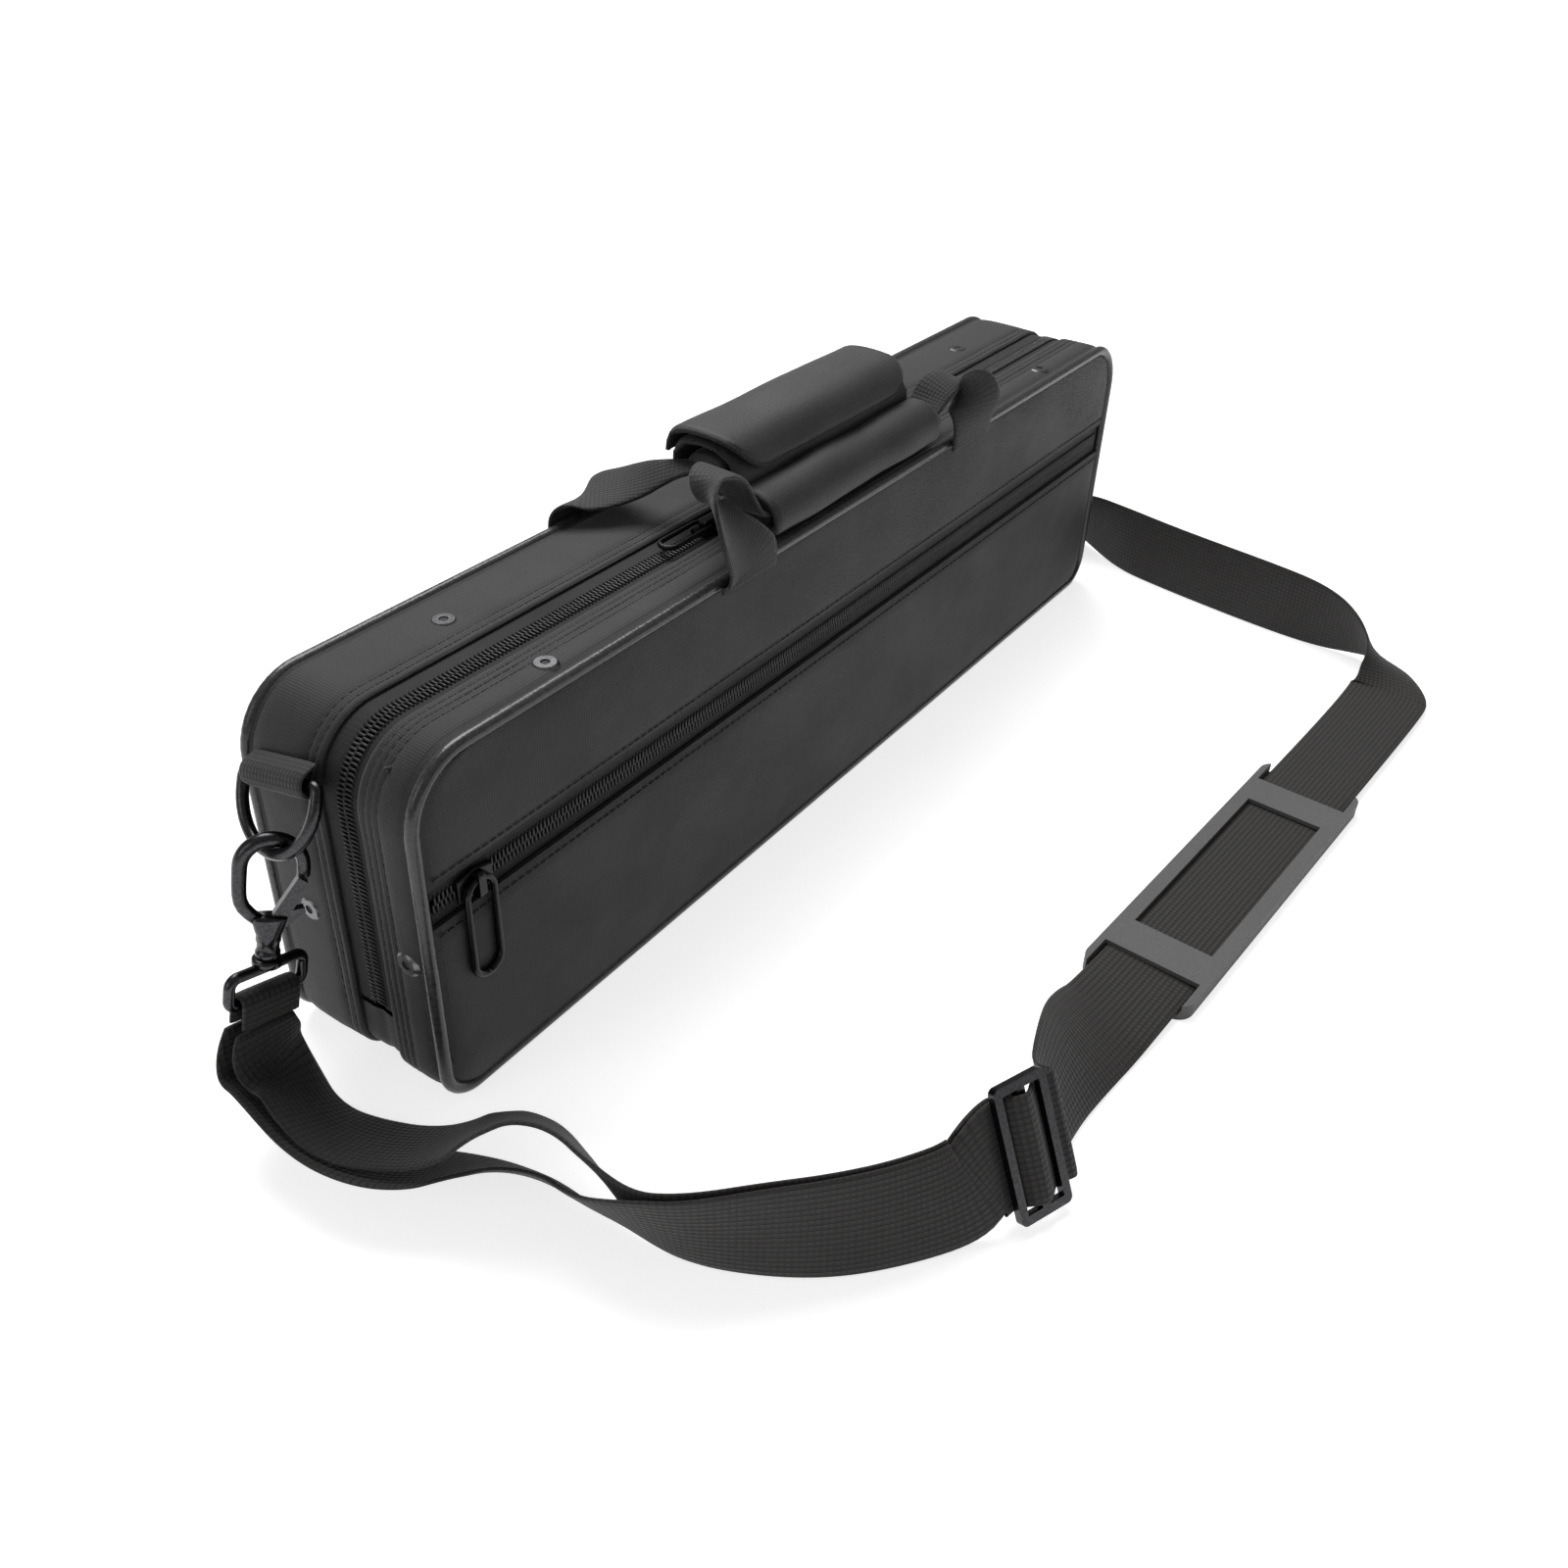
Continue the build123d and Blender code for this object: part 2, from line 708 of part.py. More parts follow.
def hook_body():
    """Snap hook: a bow with its mouth to one side, on a base that holds the gate and swivel."""
    centre = bow_centre()
    base = hook_stem_z + hook_base
    outline = [(-2.6, base), (-hook_bend, base + 5.5)]
    outline += arc(0, centre, hook_bend, 180, 0, 2 * turn_steps)
    outline += [(hook_bend, centre - hook_mouth)]
    bow = Plane.XZ * wire_along(outline, hook_wire / 2, closed=False)
    root = loft(
        [
            Plane.XY.offset(hook_stem_z) * Circle(barrel_radius),
            Plane.XY.offset(base + 1.5) * RectangleRounded(9.6, 5.4, 1.6),
        ]
    )
    slot = Pos(3.0, 0, base + 0.6) * Box(7.6, gate_width + 2 * gate_play, 7.0)
    barrel = Pos(0, 0, hook_stem_z - barrel_length / 2) * Cylinder(barrel_radius, barrel_length)
    bore_depth = pin_length + 2 * swivel_play
    bore = Pos(0, 0, hook_stem_z - barrel_length) * Cylinder(swivel_radius + swivel_play, 2 * bore_depth)
    body = bow + (root - slot) + barrel - bore
    pin = Pos(*gate_pivot()) * Rot(90, 0, 0) * Cylinder(pin_radius, 5.4)
    return body + pin


def gate_pivot():
    """Gate's pivot on the hook's local axes."""
    return (2.6, 0, hook_stem_z + 4.2)


def gate():
    """Sprung gate that closes the mouth, with a thumb tab outside."""
    x, _, z = gate_pivot()
    nose_z = bow_centre() - hook_mouth
    outline = Polyline(
        (x - 1.9, z - 1.2),
        (x + 1.9, z - 1.6),
        (x + 6.4, z + 2.6),
        (x + 5.8, z + 4.0),
        (x + 3.2, z + 3.4),
        (hook_bend + 1.2, nose_z - gate_play - gate_slope),
        (hook_bend - 1.3, nose_z - gate_play),
        (x - 1.9, z + 2.0),
        close=True,
    )
    sheet = Plane((0, gate_width / 2, 0), x_dir=(1, 0, 0), z_dir=(0, -1, 0)) * make_face(outline)
    lever = extrude(sheet, gate_width)
    return lever - Pos(x, 0, z) * Rot(90, 0, 0) * Cylinder(pin_radius + gate_bore_play, 3 * gate_width)


def swivel_eye():
    """Strap eye: a rectangular loop on a headed pin that turns in the hook's barrel."""
    top = hook_stem_z - barrel_length - 2 * swivel_play
    neck = Pos(0, 0, top + (pin_length - eye_wire) / 2) * Cylinder(swivel_radius, pin_length + eye_wire)
    collar = Pos(0, 0, top - collar_length / 2) * Cylinder(collar_radius, collar_length)
    outline = rounded(eye_width - eye_wire, eye_height - eye_wire, eye_corner, turn_steps - 2)
    centre = top - collar_length + 1.0 - eye_height / 2
    frame = Plane.XZ * (Pos(0, centre, 0) * wire_along(outline, eye_wire / 2))
    return frame + collar + neck


def eye_bar():
    """Centre of the eye's lower bar on the hook's local axes."""
    top = hook_stem_z - barrel_length - 2 * swivel_play
    return (0, 0, top - collar_length + 1.0 - eye_height + eye_wire / 2)


def strap_loop():
    """End of the strap folded round the eye's bar."""
    x, y, z = eye_bar()
    inner = eye_wire / 2 + loop_play
    outer = inner + strap_thickness
    side = Plane((x - strap_end_width / 2, y, z), x_dir=(0, 1, 0), z_dir=(1, 0, 0))
    bend = Circle(outer) - Circle(inner) - Pos(0, -outer) * Rectangle(4 * outer, 2 * outer)
    legs = Pos(inner + strap_thickness / 2, -loop_length / 2) * Rectangle(strap_thickness, loop_length)
    legs += Pos(-inner - strap_thickness / 2, -loop_length / 2) * Rectangle(strap_thickness, loop_length)
    return extrude(side * (bend + legs), strap_end_width)


def loop_leg(side, drop):
    """Point on the line of one leg of the left loop, at a distance below the eye's bar."""
    x, y, z = eye_bar()
    offset_y = side * (eye_wire / 2 + loop_play + strap_thickness / 2)
    return tuple((hook_place() * Pos(x, y + offset_y, z - drop)).position)


def strap_end(side):
    """Last two stations of a layer, in line with one leg of the left loop."""
    lean = math.radians(hook_lean)
    across = (-math.cos(lean), 0, math.sin(lean))
    return [
        (loop_leg(side, loop_length + 7.0), across, (strap_end_width + strap_width) / 2),
        (loop_leg(side, loop_length + 0.4), across, strap_end_width),
    ]


def from_end(side, stations):
    """Strap stations whose x is measured from the left (-1) or right (1) end of the case."""
    return [((c[0] + side * half_length, c[1], c[2]), across, width) for c, across, width in stations]


# Strap route from each end of the case: centre of the webbing, direction across it, width.
right_rise = from_end(1, [
    ((28.4, 2, 19.5), (-0.93, 0.1, 0.4), 28.0),
    ((29.5, -7, 16.6), (-0.7, 0.05, 0.75), strap_width),
    ((29.5, -21, 16.4), (-0.3, 0, 0.95), strap_width),
])
right_run = from_end(1, [
    ((20, -44, 16.3), (0, 0, 1), strap_width),
    ((15, -66, 16.3), (0, 0, 1), strap_width),
    ((11, -90, 16.3), (0, 0, 1), strap_width),
    ((7, -118, 16.3), (0, 0, 1), strap_width),
    ((4, -144, 16), (-0.1, 0.05, 1), strap_width),
    ((0.5, -163, 14.4), (-0.35, 0.35, 0.85), strap_width),
    ((-6, -177.5, 9.6), (-0.2, 0.8, 0.55), strap_width),
    ((-18, -185.6, 5.0), (0, 0.97, 0.22), strap_width),
])
pad_start = Vector(half_length - 28, -187.1, pad_floor + pad_channel / 2)
pad_end = Vector(154 - half_length, -170.8, pad_floor + pad_channel / 2)
left_twist = from_end(-1, [
    ((138, -170, 6.0), (0.05, 0.94, 0.34), strap_width),
    ((122, -170.4, 10.5), (0.1, 0.8, 0.6), strap_width),
    ((105, -172.4, 14.0), (0.14, 0.6, 0.78), strap_width),
    ((88, -176.2, 15.2), (0.17, 0.48, 0.87), strap_width),
])
glide_centre = Vector(71 - half_length, -179.3, 20.6)
glide_along = Vector(-0.93, 0.36, 0)
glide_across = Vector(0.17, 0.44, 0.88)
doubled_run = from_end(-1, [
    ((50, -171.8, 16.4), (0.1, 0.3, 0.95), strap_width),
    ((34, -161.6, 16.3), (0.1, 0.22, 0.97), strap_width),
    ((20, -150, 16.8), (0.1, 0.16, 0.98), strap_width),
    ((8, -136, 17.0), (0.02, 0.06, 1), strap_width),
    ((-3, -121, 17.0), (-0.15, -0.1, 0.98), strap_width),
    ((-7.5, -108, 16.2), (-0.3, -0.25, 0.93), strap_width),
])
main_rise = from_end(-1, [
    ((-9.5, -95, 14.6), (-0.45, -0.44, 0.78), strap_width),
    ((-8.8, -80, 13.6), (-0.44, -0.48, 0.76), strap_width),
    ((-12, -68, 13.0), (-0.45, -0.5, 0.74), strap_width),
    ((-18.2, -57, 11.6), (-0.52, -0.57, 0.63), strap_width),
    ((-25.6, -46, 9.6), (-0.57, -0.64, 0.5), strap_width),
    ((-31.7, -34, 9.4), (-0.66, -0.56, 0.5), strap_width),
    ((-34.2, -19, 9.6), (-0.68, -0.53, 0.5), strap_width),
    ((-33.4, -3, 11.4), (-0.7, -0.46, 0.55), strap_width),
    ((-30.8, 9, 16.5), (-0.85, -0.2, 0.45), 29.0),
])
tail_rise = from_end(-1, [
    ((-3.5, -90, 22), (-0.5, -0.45, 0.74), strap_width),
    ((-3, -79, 27.5), (-0.52, -0.5, 0.69), strap_width),
    ((-6.5, -69, 28.5), (-0.49, -0.53, 0.69), strap_width),
    ((-12, -62, 25.5), (-0.5, -0.53, 0.69), strap_width),
    ((-18.6, -53.2, 17.8), (-0.57, -0.61, 0.54), strap_width),
    ((-24.1, -40.4, 12.6), (-0.63, -0.63, 0.45), strap_width),
    ((-29, -26, 11.2), (-0.73, -0.57, 0.38), strap_width),
    ((-30, -12, 12.6), (-0.76, -0.5, 0.42), strap_width),
    ((-27.4, 1, 18), (-0.85, -0.3, 0.43), 29.0),
])
layer_gap = 2.2


def glide_normal():
    """Outward direction of the doubled strap's face at the tri-glide."""
    return unit(glide_along.cross(glide_across)) * -1


def glide_point(along, out):
    """Point on the strap's middle at the tri-glide, moved along it and out from it."""
    return tuple(glide_centre + unit(glide_along) * along + glide_normal() * out)


def weave(outs):
    """Stations of the webbing through the tri-glide, one per pair of place along it and offset."""
    return [(glide_point(s, o), tuple(glide_across), strap_width) for s, o in outs]


def inward(stations, distance):
    """Stations moved square to the webbing, towards the case."""
    moved = []
    for i, (centre, across, width) in enumerate(stations):
        before = Vector(*stations[max(i - 1, 0)][0])
        after = Vector(*stations[min(i + 1, len(stations) - 1)][0])
        normal = unit((after - before).cross(Vector(*across)))
        moved.append((tuple(Vector(*centre) + normal * distance), across, width))
    return moved


def strap_main():
    """Main layer: from the right loop, through the pad and the tri-glide, to the left loop."""
    right_end = [((-c[0], c[1], c[2]), (w[0], w[1], -w[2]), s) for c, w, s in reversed(strap_end(-1))]
    middle_of_pad = (pad_start + pad_end) * 0.5
    flat = [(tuple(p), (0, 1, 0), strap_width) for p in (pad_start, middle_of_pad, pad_end)]
    edge = glide_depth / 2
    slot = edge - glide_wire + 0.1
    middle = glide_wire / 2 + 0.1
    over = glide_wire / 2 + strap_thickness / 2 + glide_play
    through = [(-edge - 6, -1), (-edge, -over), (-slot, -over), (-middle, over)]
    through += [(middle, over), (slot, -over), (edge, -over), (edge + 6, -0.4)]
    route = right_end + right_rise + right_run + flat + left_twist
    route += weave(through) + doubled_run + main_rise + strap_end(1)
    return ribbon(route, strap_thickness)


def strap_tail():
    """Tail layer: from the left loop back to the tri-glide's middle bar."""
    edge = glide_depth / 2
    over = glide_wire / 2 + strap_thickness / 2 + glide_play
    route = weave([(-1.4, -over), (1.6, -over), (edge - glide_wire, -over - layer_gap)])
    route += weave([(edge, -over - layer_gap), (edge + 6, -0.4 - layer_gap)])
    route += inward(doubled_run, layer_gap) + tail_rise + strap_end(-1)
    return ribbon(route, strap_thickness)


def tri_glide():
    """Tri-glide: an outer frame and a middle bar, with two slots for the webbing."""
    corner = glide_wire / 2
    frame = RectangleRounded(glide_depth, glide_length, corner + 0.6)
    slot_length = glide_length - 2 * glide_wire
    slot = (glide_depth - 3 * glide_wire) / 2
    for side in (-1, 1):
        frame -= Pos(side * (glide_wire + slot) / 2, 0) * Rectangle(slot, slot_length)
    body = extrude(frame, glide_wire / 2, both=True)
    place = Plane(origin=glide_centre, x_dir=unit(glide_along), z_dir=glide_normal())
    return place * body


def pad_plane():
    """Local axes of the shoulder pad: x along the strap, z up from the floor."""
    along = unit(pad_start - pad_end)
    middle = pad_end + along * (8 + pad_length / 2)
    return Plane(origin=(middle.X, middle.Y, 0), x_dir=(along.X, along.Y, 0), z_dir=(0, 0, 1))


def shoulder_pad():
    """Moulded pad: a ribbed sole, low rails, and a bridge at each end that keeps the strap in."""
    height = pad_floor + pad_channel + pad_roof
    body = extrude(RectangleRounded(pad_length, pad_width, 6.0), height)
    body -= Pos(0, 0, pad_floor + pad_channel / 2) * Box(2 * pad_length, strap_width + 1.0, pad_channel)
    body -= Pos(0, 0, height) * Box(pad_window, strap_width - 4.0, 2 * (pad_roof + 0.2))
    for side in (-1, 1):
        bridge_end = pad_window / 2 + pad_bar
        mouth = Box(pad_length / 2, pad_width - 2 * pad_rail, 2 * (pad_channel + pad_roof))
        body -= Pos(side * (bridge_end + pad_length / 4), 0, height) * mouth
        body -= Pos(side * (pad_length / 2 + pad_notch / 2), 0, 0) * Cylinder(pad_notch, 3 * height)
    for x in range(-6, 7):
        body -= Pos(x * 9.0, 0, 0) * Box(1.6, pad_width - 10, 1.2)
    return pad_plane() * body


def build():
    """Every node by name."""
    parts = {
        "back_shell": back_shell(),
        "front_shell": front_shell(),
        "back_piping": piping(1),
        "front_piping": piping(-1),
        "upper_front_panel": front_panel(pocket_zip_z + pocket_strip / 2, case_height),
        "pocket_panel": front_panel(0, pocket_zip_z - pocket_strip / 2),
        "hinge_tape": hinge_tape(),
        "back_zipper_tape": zipper_tape(zip_y + tape_to_teeth, back_tape_y - tape_seat),
        "front_zipper_tape": zipper_tape(front_tape_y + tape_seat, zip_y - tape_to_teeth),
        "back_zipper_teeth": zipper_teeth(1),
        "front_zipper_teeth": zipper_teeth(-1),
        "left_zip_slider": main_slider(left_slider_x, 1),
        "right_zip_slider": main_slider(right_slider_x, -1),
        "left_zip_pull": main_pull(left_slider_x, 1),
        "right_zip_pull": main_pull(right_slider_x, -1),
        "upper_pocket_tape": pocket_tape(1),
        "lower_pocket_tape": pocket_tape(-1),
        "upper_pocket_teeth": pocket_teeth(1),
        "lower_pocket_teeth": pocket_teeth(-1),
        "pocket_zip_slider": pocket_slider(),
        "pocket_zip_pull": pocket_pull(),
        "back_rivets": rivets(rivet_back_y),
        "front_rivets": rivets(rivet_front_y),
        "flute_tray": foam_tray(),
        "lid_pad": lid_pad(),
        "back_handle_web": handle_web(1, back_roll_y, back_roll_z, back_arch),
        "front_handle_web": handle_web(-1, front_roll_y, front_roll_z, front_arch),
        "back_grip_roll": roll(back_roll_y, back_roll_z, back_roll_size, grip_web_width),
        "front_grip_roll": roll(front_roll_y, front_roll_z, front_roll_size, grip_web_width),
        "grip_flap": grip_flap(),
        "strap_main": strap_main(),
        "strap_tail": strap_tail(),
        "tri_glide": tri_glide(),
        "shoulder_pad": shoulder_pad(),
    }
    ends = {
        "ring_tab": ring_tab(),
        "d_ring": d_ring(),
        "snap_hook": bow_place() * hook_body(),
        "hook_gate": bow_place() * gate(),
        "swivel_eye": hook_place() * swivel_eye(),
        "strap_loop": hook_place() * strap_loop(),
    }
    for name, shape in ends.items():
        parts[name + "_left"] = shape
        parts[name + "_right"] = mirrored(shape)
    return parts


os.makedirs("parts", exist_ok=True)
for node, shape in build().items():
    export_step(shape, f"parts/{node}.step")
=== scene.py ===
"""Soft flute case with a shoulder strap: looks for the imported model."""

import logging
import math
from collections.abc import Iterable, Sequence
from dataclasses import dataclass, field
from enum import Enum
from typing import NamedTuple

import bpy
from mathutils import Matrix, Vector, noise

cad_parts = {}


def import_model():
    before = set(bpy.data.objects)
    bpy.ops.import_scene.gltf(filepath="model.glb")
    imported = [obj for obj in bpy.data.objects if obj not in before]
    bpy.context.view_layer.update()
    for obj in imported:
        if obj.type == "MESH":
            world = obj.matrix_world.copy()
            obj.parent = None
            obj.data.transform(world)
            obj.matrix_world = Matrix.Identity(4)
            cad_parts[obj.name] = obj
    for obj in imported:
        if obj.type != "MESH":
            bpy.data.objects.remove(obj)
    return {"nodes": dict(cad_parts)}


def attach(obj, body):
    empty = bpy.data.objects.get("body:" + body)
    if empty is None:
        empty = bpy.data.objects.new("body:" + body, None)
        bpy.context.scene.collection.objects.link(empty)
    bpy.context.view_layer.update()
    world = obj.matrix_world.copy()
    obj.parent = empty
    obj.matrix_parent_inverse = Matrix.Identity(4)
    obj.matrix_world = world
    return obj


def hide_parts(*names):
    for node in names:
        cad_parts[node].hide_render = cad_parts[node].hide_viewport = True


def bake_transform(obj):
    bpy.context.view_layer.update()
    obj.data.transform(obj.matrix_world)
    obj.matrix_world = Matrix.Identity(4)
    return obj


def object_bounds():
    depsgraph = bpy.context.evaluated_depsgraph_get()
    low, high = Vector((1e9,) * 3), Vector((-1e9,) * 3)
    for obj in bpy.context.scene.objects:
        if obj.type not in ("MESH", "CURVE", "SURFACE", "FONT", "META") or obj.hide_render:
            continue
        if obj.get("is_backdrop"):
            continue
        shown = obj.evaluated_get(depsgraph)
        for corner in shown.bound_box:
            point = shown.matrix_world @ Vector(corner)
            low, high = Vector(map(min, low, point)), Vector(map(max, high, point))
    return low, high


log = logging.getLogger("flute_case")

MM = 0.001
Pair = tuple[float, float]
Point = tuple[float, float, float]
Station = tuple[Point, Point, float]

# Thickness of cloth and webbing at its very edge, as a share of the full thickness.
EDGE_SHARE = 0.35
# Sides of round bars and cords, and of the thread in a stitch.
BAR_SIDES = 14
STITCH_SIDES = 5


# --- Shader nodes ---


def linear(hex_colour: str) -> tuple[float, float, float, float]:
    """Turn a hash and six hex digits into linear RGBA by the curve of the sRGB standard."""
    channels = [int(hex_colour[i : i + 2], 16) / 255 for i in (1, 3, 5)]
    curve = [c / 12.92 if c <= 0.04045 else ((c + 0.055) / 1.055) ** 2.4 for c in channels]
    return (curve[0], curve[1], curve[2], 1.0)


@dataclass
class Nodes:
    """Node tree that is filled node by node."""

    tree: bpy.types.NodeTree

    @classmethod
    def emptied(cls, owner: bpy.types.Material | bpy.types.World) -> "Nodes":
        """Return the owner's tree without its starting nodes."""
        owner.use_nodes = True
        owner.node_tree.nodes.clear()
        return cls(owner.node_tree)

    def add(self, kind: str, inputs: dict | None = None,
            **settings: object) -> bpy.types.bpy_prop_collection:
        """Add a node with its settings and links.

        Args:
            kind: Blender's node type name, without the ShaderNode before it.
            inputs: Socket name or index to a value, or to an output socket that is linked to it.
            **settings: Attributes of the node.

        Returns:
            The node's output sockets.
        """
        made = self.tree.nodes.new(f"ShaderNode{kind}")
        for name, value in settings.items():
            setattr(made, name, value)
        for key, value in (inputs or {}).items():
            if isinstance(value, bpy.types.NodeSocket):
                self.tree.links.new(value, made.inputs[key])
            else:
                made.inputs[key].default_value = value
        return made.outputs

    def maths(self, operation: str, *values: object) -> bpy.types.NodeSocket:
        """Return the result of an operation on one or two values or sockets."""
        return self.add("Math", dict(enumerate(values)), operation=operation)[0]

    def ranged(self, value: bpy.types.NodeSocket, low: float, high: float, start: float,
               end: float) -> bpy.types.NodeSocket:
        """Return a value that is mapped from low and high to start and end."""
        return self.add("MapRange", {0: value, 1: low, 2: high, 3: start, 4: end})[0]

    def mixed(self, factor: object, first: object, second: object,
              blend: str = "MIX") -> bpy.types.NodeSocket:
        """Return the mix of two colours."""
        return self.add("Mix", {0: factor, 6: first, 7: second}, data_type="RGBA", blend_type=blend)[2]

    def cloud(self, place: bpy.types.NodeSocket, scale: float, detail: float) -> bpy.types.NodeSocket:
        """Return a noise with so many periods in a metre."""
        return self.add("TexNoise", {"Vector": place, "Scale": scale, "Detail": detail})[0]

    def seen_by(self, *rays: str) -> bpy.types.NodeSocket:
        """Return one for any of these kinds of ray, and zero for other rays."""
        path = self.add("LightPath")
        found = path[f"Is {rays[0]} Ray"]
        for ray in rays[1:]:
            found = self.maths("MAXIMUM", found, path[f"Is {ray} Ray"])
        return found


class Coordinates(Enum):
    """Where a pattern's coordinates come from, in metres."""

    SPACE = "Object"
    SURFACE = "UV"


class Relief(Enum):
    """Kind of surface pattern."""

    GRID = "grid of threads"
    TWILL = "diagonal threads"
    GRAIN = "moulded grain"
    PILE = "short pile"


@dataclass(frozen=True)
class Finish:
    """A surface finish, named for its real material.

    Attributes:
        name: Plain name of the material.
        colour: Base colour in sRGB hex.
        shade: Painted shade in the gaps and hollows of its pattern, in sRGB hex.
        relief: Kind of pattern.
        pitch_mm: Distance from one thread or grain to the next.
        depth_mm: Height of the pattern.
        roughness: Surface roughness.
        metallic: One for a metal.
        ior: Index of refraction.
        sheen: Weight of the fibre sheen.
        mottle: How far the colour wanders over some centimetres.
        coordinates: Where the pattern's coordinates come from.
        wander: How far the roughness wanders with it.
        mottle_scale: Periods of that wandering in a metre.
        bump: Strength of the pattern's relief.
    """

    name: str
    colour: str
    shade: str
    relief: Relief
    pitch_mm: float
    depth_mm: float
    roughness: float
    metallic: float = 0.0
    ior: float = 1.5
    sheen: float = 0.0
    mottle: float = 0.12
    coordinates: Coordinates = Coordinates.SPACE
    wander: float = 0.05
    mottle_scale: float = 28.0
    bump: float = 0.8

    def material(self) -> bpy.types.Material:
        """Return the finish's material, made on first use."""
        found = bpy.data.materials.get(self.name)
        if found:
            return found
        made = bpy.data.materials.new(self.name)
        nodes = Nodes.emptied(made)
        place = nodes.add("TexCoord")[self.coordinates.value]
        height = self.pattern(nodes, place)
        # Painted shade: the pattern's gaps and hollows take the darker shade colour.
        colour = nodes.mixed(height, linear(self.shade), linear(self.colour))
        cloud = nodes.cloud(place, self.mottle_scale, 3.0)
        mottle = nodes.ranged(cloud, 0.3, 0.7, 1.0 - self.mottle, 1.0 + self.mottle)
        rough = max(0.0, self.roughness - self.wander), min(1.0, self.roughness + self.wander)
        bump = nodes.add("Bump", {"Height": height, "Distance": self.depth_mm * MM, "Strength": self.bump})
        shader = nodes.add("BsdfPrincipled", {
            "Base Color": nodes.mixed(1.0, colour, mottle, "MULTIPLY"), "Metallic": self.metallic,
            "Roughness": nodes.ranged(cloud, 0.3, 0.7, *rough), "IOR": self.ior, "Sheen Weight": self.sheen,
            "Sheen Roughness": 0.4, "Normal": bump[0],
        })
        nodes.add("OutputMaterial", {"Surface": shader[0]})
        return made

    def pattern(self, nodes: Nodes, place: bpy.types.NodeSocket) -> bpy.types.NodeSocket:
        """Build the pattern's height, from 0 in its hollows to 1 on its tops.

        Args:
            nodes: Nodes of the material.
            place: Coordinates in metres.

        Returns:
            The height socket.
        """
        scale = 1.0 / (self.pitch_mm * MM)
        if self.relief in (Relief.GRAIN, Relief.PILE):
            detail = 2.0 if self.relief is Relief.GRAIN else 6.0
            return nodes.ranged(nodes.cloud(place, scale, detail), 0.35, 0.65, 0.0, 1.0)
        angle = (0.0, 0.0, math.radians(45.0 if self.relief is Relief.TWILL else 0.0))
        mapped = nodes.add("Mapping", {"Vector": place, "Rotation": angle, "Scale": (scale,) * 3})
        axes = nodes.add("SeparateXYZ", {0: mapped[0]})
        height = None
        for axis in axes[:2] if self.coordinates is Coordinates.SURFACE else axes:
            wave = nodes.maths("ABSOLUTE", nodes.maths("SINE", nodes.maths("MULTIPLY", axis, math.pi)))
            height = nodes.maths("MULTIPLY", height, wave) if height else wave
        return nodes.maths("POWER", height, 0.5)


# Polyester Oxford cloth, plain-woven with a thin coating: a fine grid and a dull sheen.
OXFORD = Finish("oxford cloth woven", "#292A2A", "#171818",
                Relief.GRID, 0.9, 0.10, 0.66, sheen=0.22, coordinates=Coordinates.SURFACE)
# The same cloth over board edges, where no thread direction shows.
OXFORD_EDGE = Finish("oxford cloth turned edge", "#222223", "#151516",
                     Relief.GRAIN, 0.9, 0.08, 0.75, sheen=0.2)
# Vinyl-covered cord: smooth and half glossy, so it carries a long highlight.
PIPING_VINYL = Finish("vinyl piping extruded", "#434344", "#343435",
                      Relief.GRAIN, 1.4, 0.04, 0.27, sheen=0.1)
# Polyester zipper tape: a narrow twill.
ZIPPER_TAPE = Finish("polyester zipper tape woven", "#1E1E1F", "#0F0F10",
                     Relief.TWILL, 0.8, 0.12, 0.8, sheen=0.2)
# Nylon 6 coil: moulded smooth, slightly glossy.
NYLON_COIL = Finish("nylon coil moulded", "#202021", "#18181A",
                    Relief.GRAIN, 0.6, 0.02, 0.42, ior=1.53)
# Zinc alloy, cast and plated dark: a soft metal gloss.
GUNMETAL = Finish("zinc alloy gunmetal plated", "#4A4A4C", "#3C3C3E",
                  Relief.GRAIN, 0.8, 0.01, 0.27, metallic=1.0, mottle=0.05)
# Brass eyelets, nickel plated: a bright ring on the dark cloth.
EYELET = Finish("brass eyelet nickel plated", "#757577", "#666668",
                Relief.GRAIN, 0.8, 0.01, 0.3, metallic=1.0, mottle=0.05)
# Zinc alloy, cast and lacquered black: darker, with bright edges.
BLACK_LACQUER = Finish("zinc alloy black lacquered", "#2E2E30", "#252526",
                       Relief.GRAIN, 0.8, 0.01, 0.3, metallic=0.85, mottle=0.05)
# Polypropylene webbing: a coarse grid of yarn, drawn at its real 1.8 mm.
WEBBING = Finish("polypropylene webbing woven", "#343230", "#171615",
                 Relief.GRID, 1.8, 0.35, 0.7, sheen=0.15, coordinates=Coordinates.SURFACE)
# Nylon webbing of the handles: a finer and flatter weave.
HANDLE_WEB = Finish("nylon webbing woven", "#2C2C2C", "#181818",
                    Relief.GRID, 1.4, 0.2, 0.7, sheen=0.2, coordinates=Coordinates.SURFACE)
# Foam-backed vinyl of the grip: a fine leather-like grain.
GRIP_VINYL = Finish("foam backed vinyl grained", "#2B2B2C", "#202121",
                    Relief.GRAIN, 0.7, 0.06, 0.56, sheen=0.15)
# Woven binding tape: a fine dull edge round the vinyl.
BINDING = Finish("polyester binding tape woven", "#2A2A2B", "#19191A",
                 Relief.GRAIN, 0.6, 0.08, 0.7, sheen=0.2)
# Thermoplastic rubber: moulded matt, a mid grey.
PAD_RUBBER = Finish("thermoplastic rubber moulded", "#686868", "#5E5E5E",
                    Relief.GRAIN, 0.5, 0.03, 0.62, mottle=0.05)
# Nylon plush over foam: short pile with a strong sheen.
PLUSH = Finish("nylon plush short pile", "#26262B", "#17171A",
               Relief.PILE, 0.7, 0.25, 0.95, sheen=0.7)
